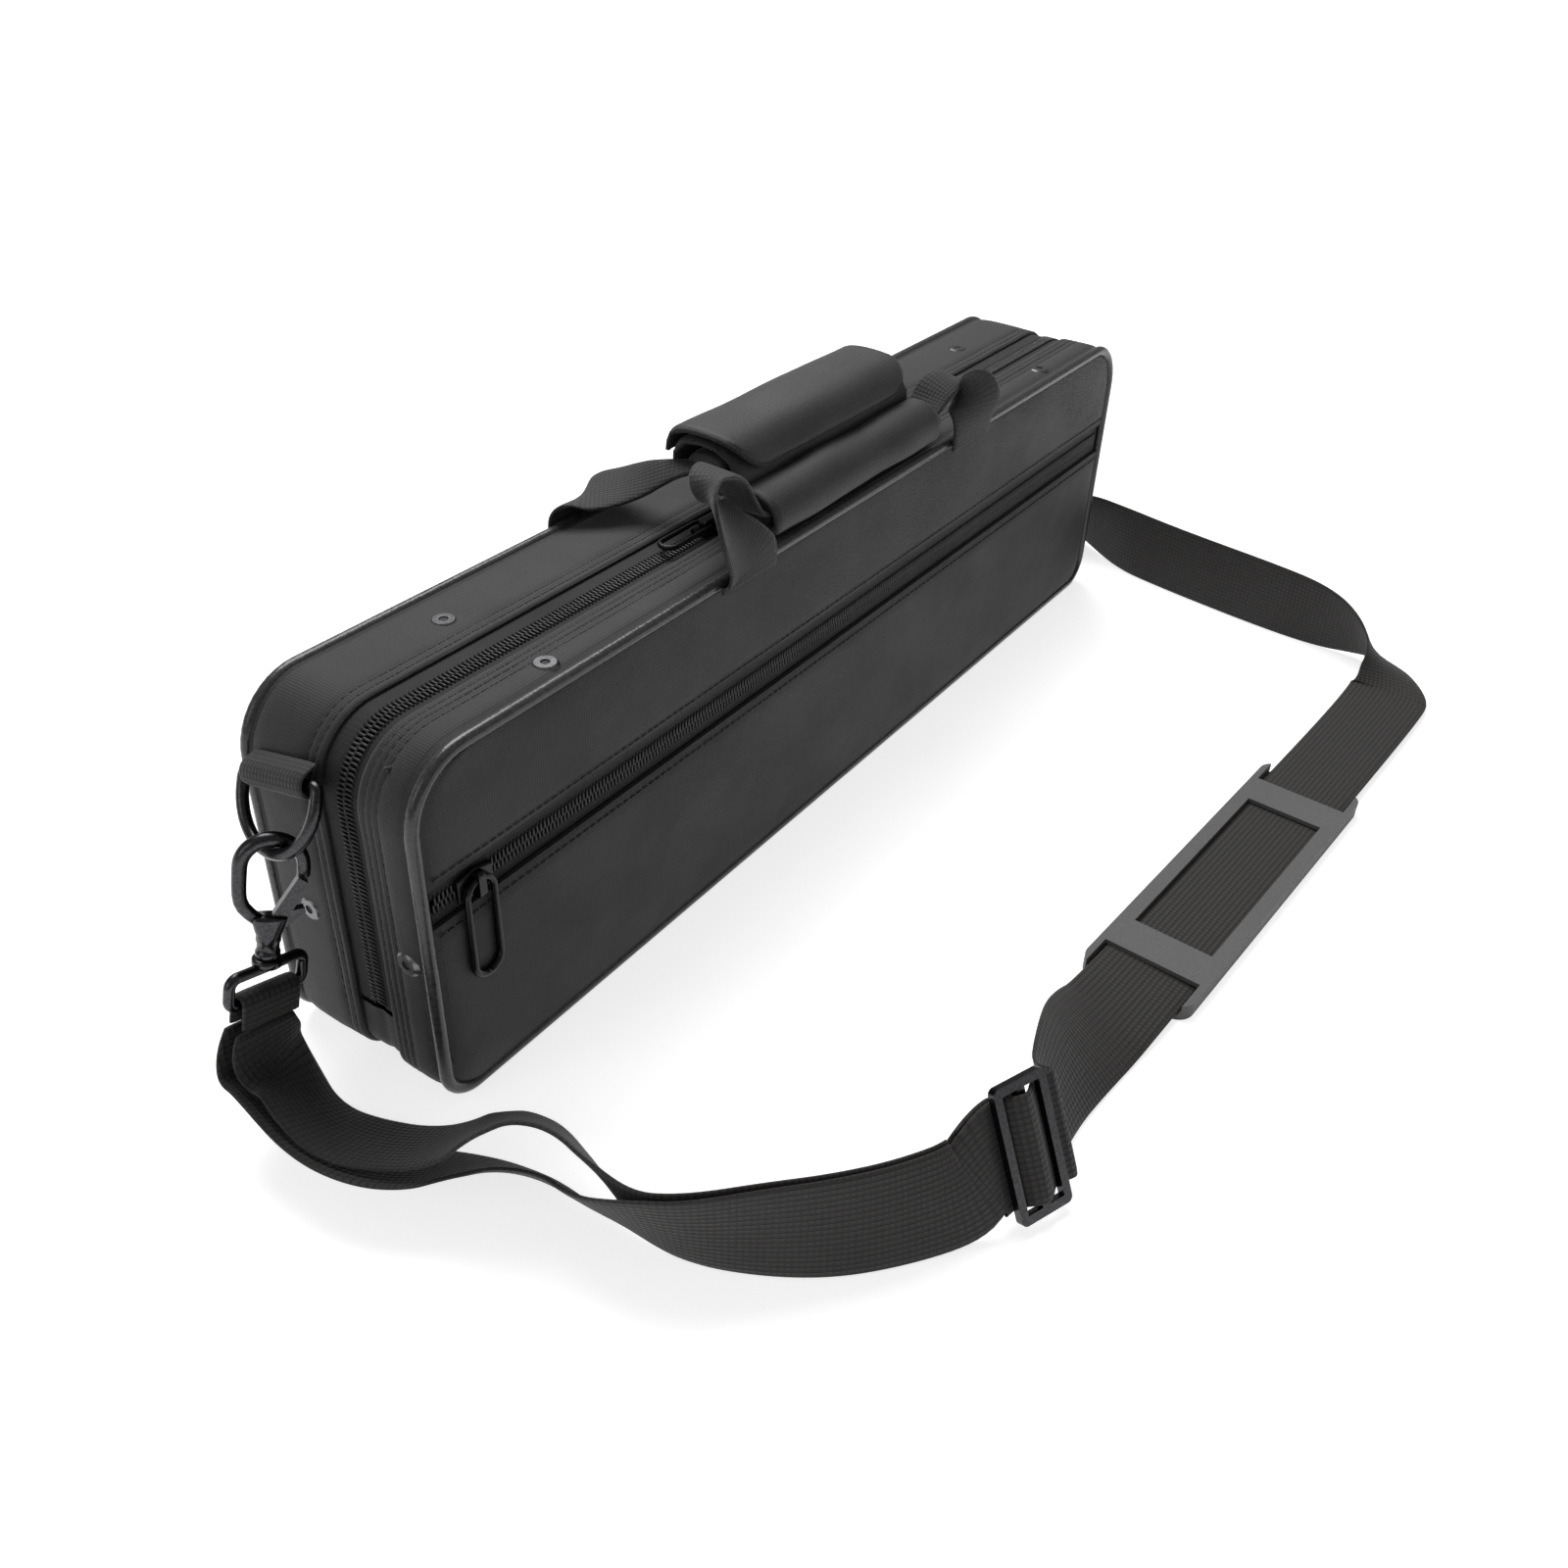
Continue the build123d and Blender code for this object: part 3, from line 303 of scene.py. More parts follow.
# Polyester thread of the seams.
THREAD = Finish("polyester thread twisted", "#242425", "#141415", Relief.GRAIN, 0.4, 0.04, 0.6)


# --- Mesh helpers ---


@dataclass
class Form:
    """Vertices in millimetres, faces and, where it has them, a surface coordinate for each vertex."""

    verts: list[Point] = field(default_factory=list)
    faces: list[tuple[int, ...]] = field(default_factory=list)
    surface: list[Pair] = field(default_factory=list)

    def join(self, other: "Form") -> None:
        """Add another form's vertices and faces."""
        start = len(self.verts)
        self.verts.extend(other.verts)
        self.faces.extend(tuple(i + start for i in face) for face in other.faces)
        self.surface.extend(other.surface)

    def piece(self, name: str, finish: Finish, body: str | None) -> bpy.types.Object:
        """Turn the form into a smooth piece that rides on a body.

        Args:
            name: Piece name.
            finish: Its finish.
            body: Body that it rides on, or none for a piece that bends between two.

        Returns:
            The new object.
        """
        mesh = bpy.data.meshes.new(name)
        mesh.from_pydata([(x * MM, y * MM, z * MM) for x, y, z in self.verts], [], self.faces)
        mesh.validate()
        mesh.update()
        if self.surface:
            layer = mesh.uv_layers.new(name="surface")
            for loop in mesh.loops:
                u, v = self.surface[loop.vertex_index]
                layer.data[loop.index].uv = (u * MM, v * MM)
        mesh.polygons.foreach_set("use_smooth", [True] * len(mesh.polygons))
        mesh.materials.append(finish.material())
        made = bpy.data.objects.new(name, mesh)
        bpy.context.scene.collection.objects.link(made)
        if body:
            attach(made, body)
        log.info("%s: %d faces on %s", name, len(mesh.polygons), body or "two bodies")
        return made


def ripple(*place: float) -> float:
    """Smooth noise at a place, from about -1 to 1."""
    return noise.noise(Vector(place))


def turn(sides: int) -> list[float]:
    """Angles of a full turn in equal steps."""
    return [2 * math.pi * k / sides for k in range(sides)]


def squircle(angle: float, power: float) -> Pair:
    """Point of a circle that is squared by a power below one."""
    c, s = math.cos(angle), math.sin(angle)
    return math.copysign(abs(c) ** power, c), math.copysign(abs(s) ** power, s)


def grid(rows: Sequence[Sequence[Sequence[float]]], closed_rows: bool = False, closed_columns: bool = False,
         ends: bool = False) -> Form:
    """Join rows of points into a sheet of quads.

    Args:
        rows: Rows of one length, of points in millimetres. A point may carry its two surface coordinates.
        closed_rows: Whether each row closes on itself.
        closed_columns: Whether the last row meets the first.
        ends: Whether the first and the last row are closed by a face.

    Returns:
        The sheet.
    """
    width, count = len(rows[0]), len(rows)
    points = [tuple(p) for row in rows for p in row]
    form = Form([p[:3] for p in points], surface=[p[3:] for p in points if len(p) > 3])
    for i in range(count if closed_columns else count - 1):
        for j in range(width if closed_rows else width - 1):
            near, far = i * width, ((i + 1) % count) * width
            following = (j + 1) % width
            form.faces.append((near + j, near + following, far + following, far + j))
    if ends:
        form.faces += [tuple(reversed(range(width))), tuple(range((count - 1) * width, count * width))]
    return form


def tube(points: Sequence[Vector], radius: float | Sequence[float], sides: int = BAR_SIDES,
         closed: bool = False) -> Form:
    """Round bar along a line of points.

    Args:
        points: Centres in millimetres.
        radius: Radius in millimetres, or one for each point.
        sides: Number of sides.
        closed: Whether the bar closes on itself.

    Returns:
        The bar, with end faces where it is open.
    """
    count = len(points)
    radii = [radius] * count if isinstance(radius, (int, float)) else radius
    rows, normal = [], None
    for i, centre in enumerate(points):
        before = points[i - 1] if closed or i > 0 else points[i]
        after = points[(i + 1) % count] if closed or i < count - 1 else points[i]
        along = (after - before).normalized()
        if normal is None:
            normal = along.orthogonal().normalized()
        normal = (normal - along * normal.dot(along)).normalized()
        other = along.cross(normal)
        rows.append([centre + (normal * math.cos(a) + other * math.sin(a)) * radii[i] for a in turn(sides)])
    return grid(rows, closed_rows=True, closed_columns=closed, ends=not closed)


def arc(x: float, y: float, radius: float, start: float, end: float, steps: int) -> list[Pair]:
    """Points on an arc about (x, y) between two angles in degrees."""
    angles = [math.radians(start + (end - start) * i / steps) for i in range(steps + 1)]
    return [(x + radius * math.cos(a), y + radius * math.sin(a)) for a in angles]


def rounded(width: float, height: float, corner: float) -> list[Pair]:
    """Points of a rounded rectangle about the origin."""
    x, y = width / 2 - corner, height / 2 - corner
    corners = enumerate([(x, y), (-x, y), (-x, -y), (x, -y)])
    return [p for i, (cx, cy) in corners for p in arc(cx, cy, corner, 90 * i, 90 * (i + 1), 9)]


def placed(form: Form, place: Matrix, mirror: bool = False) -> Form:
    """Copy of a form that is placed in millimetres and, if asked, mirrored to the right end."""
    points = [place @ Vector(v) for v in form.verts]
    faces = [tuple(reversed(f)) for f in form.faces] if mirror else form.faces
    return Form([(-p.x if mirror else p.x, p.y, p.z) for p in points], faces, form.surface)


def spin(outline: Sequence[Pair], sides: int = 24) -> Form:
    """Turned piece from pairs of radius and height."""
    rows = [[(r * math.cos(a), r * math.sin(a), z) for a in turn(sides)] for r, z in outline]
    return grid(rows, closed_rows=True)


def turned(degrees: float, axis: str) -> Matrix:
    """Turn about an axis."""
    return Matrix.Rotation(math.radians(degrees), 4, axis)


def spline(points: Sequence[Point], steps: int) -> list[Vector]:
    """Points read from a smooth NURBS line that has the given control points.

    Args:
        points: Control points in metres.
        steps: Steps from one control point to the next.

    Returns:
        Points along the line, in metres.
    """
    curve = bpy.data.curves.new("line", "CURVE")
    curve.dimensions = "3D"
    curve.resolution_u = steps
    line = curve.splines.new("NURBS")
    line.points.add(len(points) - 1)
    for control, point in zip(line.points, points):
        control.co = (*point, 1.0)
    line.order_u = 3
    line.use_endpoint_u = True
    holder = bpy.data.objects.new("line", curve)
    mesh = bpy.data.meshes.new_from_object(holder)
    found = [v.co.copy() for v in mesh.vertices]
    bpy.data.objects.remove(holder)
    bpy.data.meshes.remove(mesh)
    bpy.data.curves.remove(curve)
    return found


def smooth_line(points: Sequence[Point], steps: int = 8) -> list[Vector]:
    """The same line for control points in millimetres."""
    return [p / MM for p in spline([tuple(Vector(p) * MM) for p in points], steps)]


def ribbon(places: Iterable[Point], across: Point, width: float) -> list[Station]:
    """Stations of one direction across and one width."""
    return [(place, across, width) for place in places]


def stations(*rows: tuple[float, ...]) -> tuple[Station, ...]:
    """Stations from rows of x, y, z, the direction across in x, y and z, and the width."""
    return tuple((row[:3], row[3:6], row[6]) for row in rows)


@dataclass
class Webbing:
    """Flat webbing along stations of centre, direction across it and width."""

    stations: Sequence[Station]
    thickness: float = 1.5
    across: tuple[float, ...] = (-1.0, -0.97, -0.85, -0.6, -0.3, 0.0, 0.3, 0.6, 0.85, 0.97, 1.0)
    face_shift: float = 40.0

    def lines(self) -> tuple[list[Vector], list[Vector]]:
        """Return the centre line and the line of one edge, point by point."""
        edges = [tuple(Vector(c) + Vector(d).normalized() * width / 2) for c, d, width in self.stations]
        return smooth_line([s[0] for s in self.stations]), smooth_line(edges)

    def form(self) -> Form:
        """Build the webbing as one closed form with rounded edges."""
        centres, edges = self.lines()
        rows, run, last = [], 0.0, len(centres) - 1
        for i, centre in enumerate(centres):
            before = centres[max(i - 1, 0)]
            along = (centres[min(i + 1, last)] - before).normalized()
            half = edges[i] - centre
            half = half - along * half.dot(along)
            normal = along.cross(half).normalized()
            run += (centre - before).length
            row = []
            for side in (1, -1):
                for u in self.across[::side]:
                    full = math.sqrt(max(0.0, 1 - abs(u) ** 8))
                    rise = self.thickness / 2 * (EDGE_SHARE + (1 - EDGE_SHARE) * full)
                    spot = centre + half * u + normal * rise * side
                    row.append((*spot, u * half.length + self.face_shift * side, run))
            rows.append(row)
        return grid(rows, closed_rows=True, ends=True)


# --- The case ---


class Mark(NamedTuple):
    """Place on the case's outer line, its outward normal and its distance along the line."""

    x: float
    z: float
    nx: float
    nz: float
    run: float

    def inside(self, depth: float, y: float) -> Point:
        """Return the point at a depth below the outer line."""
        return (self.x - self.nx * depth, y, self.z - self.nz * depth)


@dataclass
class CaseBody:
    """Cloth skins, seams and piping of the two half shells."""

    length: float = 420.0
    height: float = 118.0
    depth: float = 66.0
    corner_radius: float = 22.0
    low_radius: float = 13.0
    step: float = 3.5
    piping_radius: float = 2.0
    pocket_top: float = 66.0
    upper_bottom: float = 79.0
    panel_low: float = 1.5
    panel_high: float = 116.5
    panel_inset: float = 3.2
    pucker: float = 0.14
    stitch: float = 3.0
    stitch_radius: float = 0.24

    def outline(self) -> list[Mark]:
        """Return the outer line, from the middle of the bottom round by the left end."""
        hx, r, low = self.length / 2, self.corner_radius, self.low_radius
        straight = int((hx - r) / self.step)
        rise = int((self.height - low - r) / self.step)
        steps = int(r * math.pi / 2 / self.step) + 2
        corner = [math.pi / 2 * i / steps for i in range(steps)]
        line = [(-(hx - low) * i / straight, 0.0, 0.0, -1.0) for i in range(straight)]
        line += [(-(hx - low) - low * math.sin(a), low - low * math.cos(a), -math.sin(a), -math.cos(a))
                 for a in corner]
        line += [(-hx, low + (self.height - low - r) * i / rise, -1.0, 0.0) for i in range(rise)]
        line += [(-(hx - r) - r * math.cos(a), self.height - r + r * math.sin(a), -math.cos(a), math.sin(a))
                 for a in corner]
        line += [(-(hx - r) * (1 - i / straight), self.height, 0.0, 1.0) for i in range(straight)]
        line += [(0.0, self.height, 0.0, 1.0)] + [(-x, z, -nx, nz) for x, z, nx, nz in reversed(line[1:])]
        found, run, before = [], 0.0, line[0]
        for x, z, nx, nz in line:
            run += math.hypot(x - before[0], z - before[1])
            found.append(Mark(x, z, nx, nz, run))
            before = (x, z)
        return found

    def gusset(self, profile: Sequence[Pair]) -> Form:
        """Band round the outline.

        Args:
            profile: Pairs of y and depth below the outer line.

        Returns:
            The band, slightly puckered along its seams.
        """
        rows = []
        for mark in self.outline():
            row = []
            for y, inset in profile:
                wave = ripple(mark.x * 0.06, y * 0.25, mark.z * 0.06) * self.pucker
                wave += ripple(mark.x * 0.35, y * 0.1, mark.z * 0.35) * self.pucker * 0.5
                depth = inset - wave if mark.z > 2.0 else max(inset, 0.5)
                row.append((*mark.inside(depth, y), y, mark.run))
            rows.append(row)
        return grid(rows, closed_columns=True)

    def piping(self, side: int) -> Form:
        """Bead along one face's edge, pressed flat where the case stands.

        Args:
            side: 1 for the back face and -1 for the front.

        Returns:
            The bead, with the slight waves of a sewn cord.
        """
        r = self.piping_radius
        y = side * (self.depth / 2 - r)
        line = []
        for x, z, nx, nz, _ in self.outline():
            wave = 0.12 * ripple(x * 0.03, y, z * 0.03)
            line.append(Vector((x - nx * (r + wave), y, z - nz * r)))
        form = tube(line, r, closed=True)
        form.verts = [(x, y, max(z, 0.0)) for x, y, z in form.verts]
        return form

    def half_span(self, z: float, inset: float) -> float:
        """Half a face's length at a height, at an inset from the outer line."""
        corner = self.low_radius if z < self.height / 2 else self.corner_radius
        r = corner - inset
        off = max(corner - z, z - self.height + corner, 0.0)
        return self.length / 2 - corner + math.sqrt(max(r * r - off * off, 0.0))

    def panel(self, z_low: float, z_high: float, side: int, fold_low: bool = False,
              fold_high: bool = False) -> Form:
        """Cloth panel of one face.

        Args:
            z_low: Lower edge.
            z_high: Upper edge.
            side: 1 for the back face and -1 for the front.
            fold_low: Whether the lower edge is a turned fold.
            fold_high: Whether the upper edge is a turned fold.

        Returns:
            The panel, crowned, pressed in along its edges and slightly waved.
        """
        face, columns, levels, seam_place = self.depth / 2 - 0.75, 118, 34, 3.0

        def level(z: float) -> list[float]:
            """Places along the panel at a height."""
            half = self.half_span(z, self.panel_inset)
            return [-half + 2 * half * i / columns for i in range(columns + 1)]

        def fold(z: float, way: int) -> list[tuple[float, ...]]:
            """Row of a turned edge, behind the panel's face."""
            return [(x, side * (face - 2.2), z + 0.6 * way, x, z - 2.0 * way) for x in level(z)]

        rows = [fold(z_low, 1)] if fold_low else []
        for i in range(levels + 1):
            z = z_low + (z_high - z_low) * (0.5 - 0.5 * math.cos(math.pi * i / levels))
            folds = [edge for edge, folded in ((z - z_low, fold_low), (z_high - z, fold_high)) if folded]
            seam = sum(0.35 * math.exp(-((edge - seam_place) ** 2) / 0.8) for edge in folds)
            half, row = self.half_span(z, self.panel_inset), []
            for x in level(z):
                near = max(min(half - abs(x), z - z_low, z_high - z), 0.0)
                crown = 0.7 * (1 - math.exp(-near / 10)) - 1.1 * math.exp(-near / 1.1)
                wave = ripple(x * 0.02, z * 0.05, 3.0 + side) * 0.5
                wave += ripple(x * 0.12, z * 0.12, 9.0) * self.pucker
                row.append((x, side * (face + crown - seam + wave * min(near / 8, 1.0)), z, x, z))
            rows.append(row)
        if fold_high:
            rows.append(fold(z_high, -1))
        return grid(rows)

    def stitches(self, rows: Iterable[Pair]) -> Form:
        """Rows of stitches round the outline, from each row's y and the depth of the cloth there."""
        form = Form()
        marks = [p for p in self.outline() if p.z > self.panel_low]
        for y, inset in rows:
            for a, b in zip(marks, marks[1:]):
                start, end = Vector(a.inside(inset, y)), Vector(b.inside(inset, y))
                line = [start.lerp(end, t) for t in (0.12, 0.5, 0.88)]
                form.join(tube(line, self.stitch_radius, STITCH_SIDES))
        return form

    def line_of_stitches(self, z: float) -> Form:
        """Straight row of stitches along the front face at a height."""
        form, y, gap = Form(), 0.5 - self.depth / 2, 0.4
        half = self.half_span(z, 5.0)
        count = int(2 * half / self.stitch)
        for i in range(count):
            x = -half + 2 * half * i / count
            line = [Vector((x + gap, y, z)), Vector((x + self.stitch - gap, y, z))]
            form.join(tube(line, self.stitch_radius, STITCH_SIDES))
        return form

    def build(self) -> None:
        """Make the skins, the seams and the piping beads."""
        back = [(2.1, 2.9), (1.5, 1.9), (1.7, 1.0), (2.4, 0.55), (3.6, 0.5), (4.2, 0.85), (4.8, 0.5),
                (6.2, 0.42), (6.8, 0.8), (7.4, 0.42), (10.0, 0.3), (14.0, 0.22), (19.0, 0.2), (23.5, 0.3),
                (26.6, 0.6), (28.4, 1.3), (29.4, 2.3)]
        front = [(-29.4, 2.3), (-28.4, 1.3), (-27.0, 0.7), (-25.2, 0.45), (-23.0, 0.35), (-20.6, 0.42),
                 (-20.0, 0.8), (-19.4, 0.42), (-18.2, 0.42), (-17.6, 0.8), (-17.0, 0.42), (-15.8, 0.45),
                 (-15.2, 0.85), (-14.6, 0.5), (-13.4, 0.6), (-12.6, 1.1), (-12.4, 1.9), (-13.0, 2.9)]
        low, high = self.panel_low, self.panel_high
        self.gusset(back).piece("back_gusset_cloth", OXFORD, "base")
        self.gusset(front).piece("front_gusset_cloth", OXFORD, "lid")
        self.panel(low, high, 1).piece("back_face_cloth", OXFORD, "base")
        self.panel(self.upper_bottom, high, -1, fold_low=True).piece("upper_front_cloth", OXFORD, "lid")
        self.panel(low, self.pocket_top, -1, fold_high=True).piece("pocket_cloth", OXFORD, "lid")
        self.stitches([(4.2, 0.8), (6.8, 0.75)]).piece("back_gusset_seams", THREAD, "base")
        seams = self.stitches([(-15.2, 0.8), (-17.6, 0.75), (-20.0, 0.75)])
        seams.join(self.line_of_stitches(self.pocket_top - 3.0))
        seams.join(self.line_of_stitches(self.upper_bottom + 3.0))
        seams.piece("front_seams", THREAD, "lid")
        for side, name, body in ((1, "back", "base"), (-1, "front", "lid")):
            bead = self.piping(side).piece(f"{name}_piping_bead", PIPING_VINYL, body)
            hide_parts(f"{name}_piping")


@dataclass
class Zipper:
    """Coil chains, sliders' pulls and the cloth hinge of the main and pocket zippers."""

    case: CaseBody
    line_y: float = -7.0
    line_gap: float = 1.1
    coil_inset: float = 1.75
    end_z: float = 26.0
    pitch: float = 1.5
    coil_radius: float = 0.42
    reach: float = 1.8
    pocket_z: float = 72.5
    pocket_y: float = -30.5
    pocket_half: float = 204.4
    pull_z: float = 119.4
    hinge_y: float = -12.8
    hinge_width: float = 14.2

    def loop(self, centre: Vector, across: Vector, along: Vector) -> Form:
        """One turn of the coil: a short bar with a thicker head at the zipper's middle line."""
        up = across.cross(along).normalized()
        rows = []
        for place, size in ((-1.0, 0.75), (-0.4, 0.95), (0.45, 1.0), (0.8, 0.8)):
            middle, radius = centre + across * (self.reach * place), self.coil_radius * size
            tall = radius * 1.2
            rows.append([middle + along * radius * math.cos(a) + up * tall * math.sin(a) for a in turn(8)])
        return grid(rows, closed_rows=True, ends=True)

    def chain(self, side: int) -> Form:
        """One side's coil round the opening edge.

        Args:
            side: 1 for the back half and -1 for the front.

        Returns:
            The chain.
        """
        form, j = Form(), 0
        marks = [p for p in self.case.outline() if p.z >= self.end_z]
        y = self.line_y + side * self.line_gap
        for i in range(int((marks[-1].run - marks[0].run) / self.pitch)):
            run = marks[0].run + (i + 0.5 + 0.25 * side) * self.pitch
            while marks[j + 1].run < run:
                j += 1
            a, b = marks[j], marks[j + 1]
            part = (run - a.run) / (b.run - a.run)
            x, z, nx, nz, _ = (p + (q - p) * part for p, q in zip(a, b))
            size = math.hypot(nx, nz)
            spot = Mark(x, z, nx / size, nz / size, run)
            centre, along = Vector(spot.inside(self.coil_inset, y)), Vector((-spot.nz, 0, spot.nx))
            form.join(self.loop(centre, Vector((0, -side, 0)), along))
        return form

    def pocket_chain(self, side: int) -> Form:
        """One side's coil of the pocket zipper, above (1) or below (-1) its line."""
        form = Form()
        for i in range(int(2 * self.pocket_half / self.pitch)):
            x = -self.pocket_half + (i + 0.5 + 0.25 * side) * self.pitch
            centre = Vector((x, self.pocket_y, self.pocket_z + side * self.line_gap))
            form.join(self.loop(centre, Vector((0, 0, -side)), Vector((1, 0, 0))))
        return form

    def pull(self, length: float, width: float, radius: float) -> Form:
        """Cast loop that starts at its hinge and reaches along x, thicker at its free end."""
        path = [Vector((length / 2 + x, y, 0)) for x, y in rounded(length, width, width / 2 - 0.05)]
        radii = [radius * (1.0 + 0.25 * min(max(p.x / length, 0.0), 1.0)) for p in path]
        return tube(path, radii, 12, closed=True)

    def fold_cloth(self) -> Form:
        """Cloth hinge along the bottom, from the left zipper end to the right one."""
        line, columns = self.case.outline(), 14
        marks = [p for p in reversed(line) if p.z <= self.end_z]
        half = line[-1].run / 2
        rows = []
        for mark in [p for p in marks if p.run < half] + [p for p in marks if p.run >= half]:
            row = []
            for k in range(columns + 1):
                y = self.hinge_y + self.hinge_width * k / columns
                dip = 2.0 + 0.5 * math.exp(-((y - self.line_y) ** 2) / 3)
                row.append((*mark.inside(dip, y), y, mark.run))
            rows.append(row)
        return grid(rows)

    def build(self) -> None:
        """Make the coils, the pulls and the cloth hinge."""
        for side, name, body in ((1, "back", "base"), (-1, "front", "lid")):
            coil = self.chain(side).piece(f"{name}_zipper_coil", NYLON_COIL, body)
            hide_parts(f"{name}_zipper_teeth")
        for side, name in ((1, "upper"), (-1, "lower")):
            coil = self.pocket_chain(side).piece(f"{name}_pocket_coil", NYLON_COIL, "lid")
            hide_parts(f"{name}_pocket_teeth")
        for name, x, angle in (("left", -55.123, 180), ("right", -36.523, 0)):
            place = Matrix.Translation((x, self.line_y, self.pull_z)) @ turned(angle, "Z")
            pull = placed(self.pull(22.0, 6.0, 0.7), place)
            made = pull.piece(f"{name}_pull_loop", BLACK_LACQUER, f"{name}_pull")
            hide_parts(f"{name}_zip_pull")
        place = Matrix.Translation((-190.0, -33.7, 74.1)) @ turned(90, "X") @ turned(-90, "Z")
        pull = placed(self.pull(33.0, 10.0, 0.95), place)
        made = pull.piece("pocket_pull_loop", BLACK_LACQUER, "pocket_pull")
        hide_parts("pocket_zip_pull")
        fold = self.fold_cloth().piece("hinge_cloth", OXFORD, None)
        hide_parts("hinge_tape")
        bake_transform(fold)


@dataclass
class Sheet:
    """Foam-backed sheet bent along a path of y and z, with the corners of its free edge rounded."""

    path: list[Pair]
    thickness: float
    corner: float
    half: float = 51.0
    bulge: float = 0.7
    soft_edge: float = 1.6

    def __post_init__(self) -> None:
        """Read the bent line and the distance along it."""
        self.line = smooth_line([(0.0, y, z) for y, z in self.path], 6)
        self.runs = [0.0]
        for a, b in zip(self.line, self.line[1:]):
            self.runs.append(self.runs[-1] + (b - a).length)

    def at(self, x: float, run: float) -> tuple[Vector, Vector]:
        """Return the sheet's middle and its normal at a place.

        Args:
            x: Place along the grip.
            run: Distance from the sewn edge.

        Returns:
            The point and the normal.
        """
        i = max(j for j in range(len(self.runs) - 1) if self.runs[j] <= run + 1e-6)
        a, b = self.line[i], self.line[i + 1]
        spot = a.lerp(b, min((run - self.runs[i]) / (self.runs[i + 1] - self.runs[i]), 1.0))
        along = (b - a).normalized()
        normal = Vector((0, -along.z, along.y))
        spot += normal * (ripple(x * 0.045, run * 0.07, self.runs[-1]) * self.bulge)
        return Vector((x, spot.y, spot.z)), normal

    def reach(self, x: float) -> float:
        """Distance from the sewn edge to the free edge at a place along the grip."""
        near = max(self.corner - (self.half - abs(x)), 0.0)
        return self.runs[-1] - self.corner + math.sqrt(max(self.corner**2 - near**2, 0.0))

    def columns(self) -> list[float]:
        """Places along the grip, closer together at the rounded corners."""
        bend = [self.half - self.corner * (1 - math.sin(math.pi / 2 * i / 12)) for i in range(13)]
        flat = [(self.half - self.corner) * (2 * i / 24 - 1) for i in range(1, 24)]
        return sorted([-x for x in bend] + flat + bend)

    def form(self) -> Form:
        """Build the sheet as one closed form with soft edges."""
        rows, steps = [], len(self.line) + 2
        for x in self.columns():
            reach, row = self.reach(x), []
            for side in (1, -1):
                for k in range(steps + 1)[::side]:
                    run = reach * k / steps
                    spot, normal = self.at(x, run)
                    edge = max(min(run, reach - run, self.half - abs(x)), 0.0)
                    full = min(1.0, edge / self.soft_edge) ** 0.5
                    thick = self.thickness / 2 * (EDGE_SHARE + (1 - EDGE_SHARE) * full)
                    row.append(spot + normal * (side * thick))
            rows.append(row)
        return grid(rows, closed_rows=True, ends=True)

    def edge(self, radius: float) -> Form:
        """Bound edge round the two ends and the free edge."""
        end = [self.reach(self.half) * k / 8 for k in range(8)]
        places = [(-self.half, run) for run in end] + [(x, self.reach(x)) for x in self.columns()]
        places += [(self.half, run) for run in reversed(end)]
        return tube([self.at(x, run)[0] for x, run in places], radius, 8)

    def cross_seam(self, x: float) -> Form:
        """Line of stitches across the sheet at a place along the grip."""
        form, reach = Form(), self.reach(x) - 2.0
        count = int(reach / 3.0)
        for i in range(count):
            spots = []
            for part in (0.1, 0.5, 0.9):
                spot, normal = self.at(x, 1.0 + (reach - 1.0) * (i + part) / count)
                spots.append(spot + normal * (self.thickness / 2 + 0.1))
            form.join(tube(spots, 0.3, STITCH_SIDES))
        return form


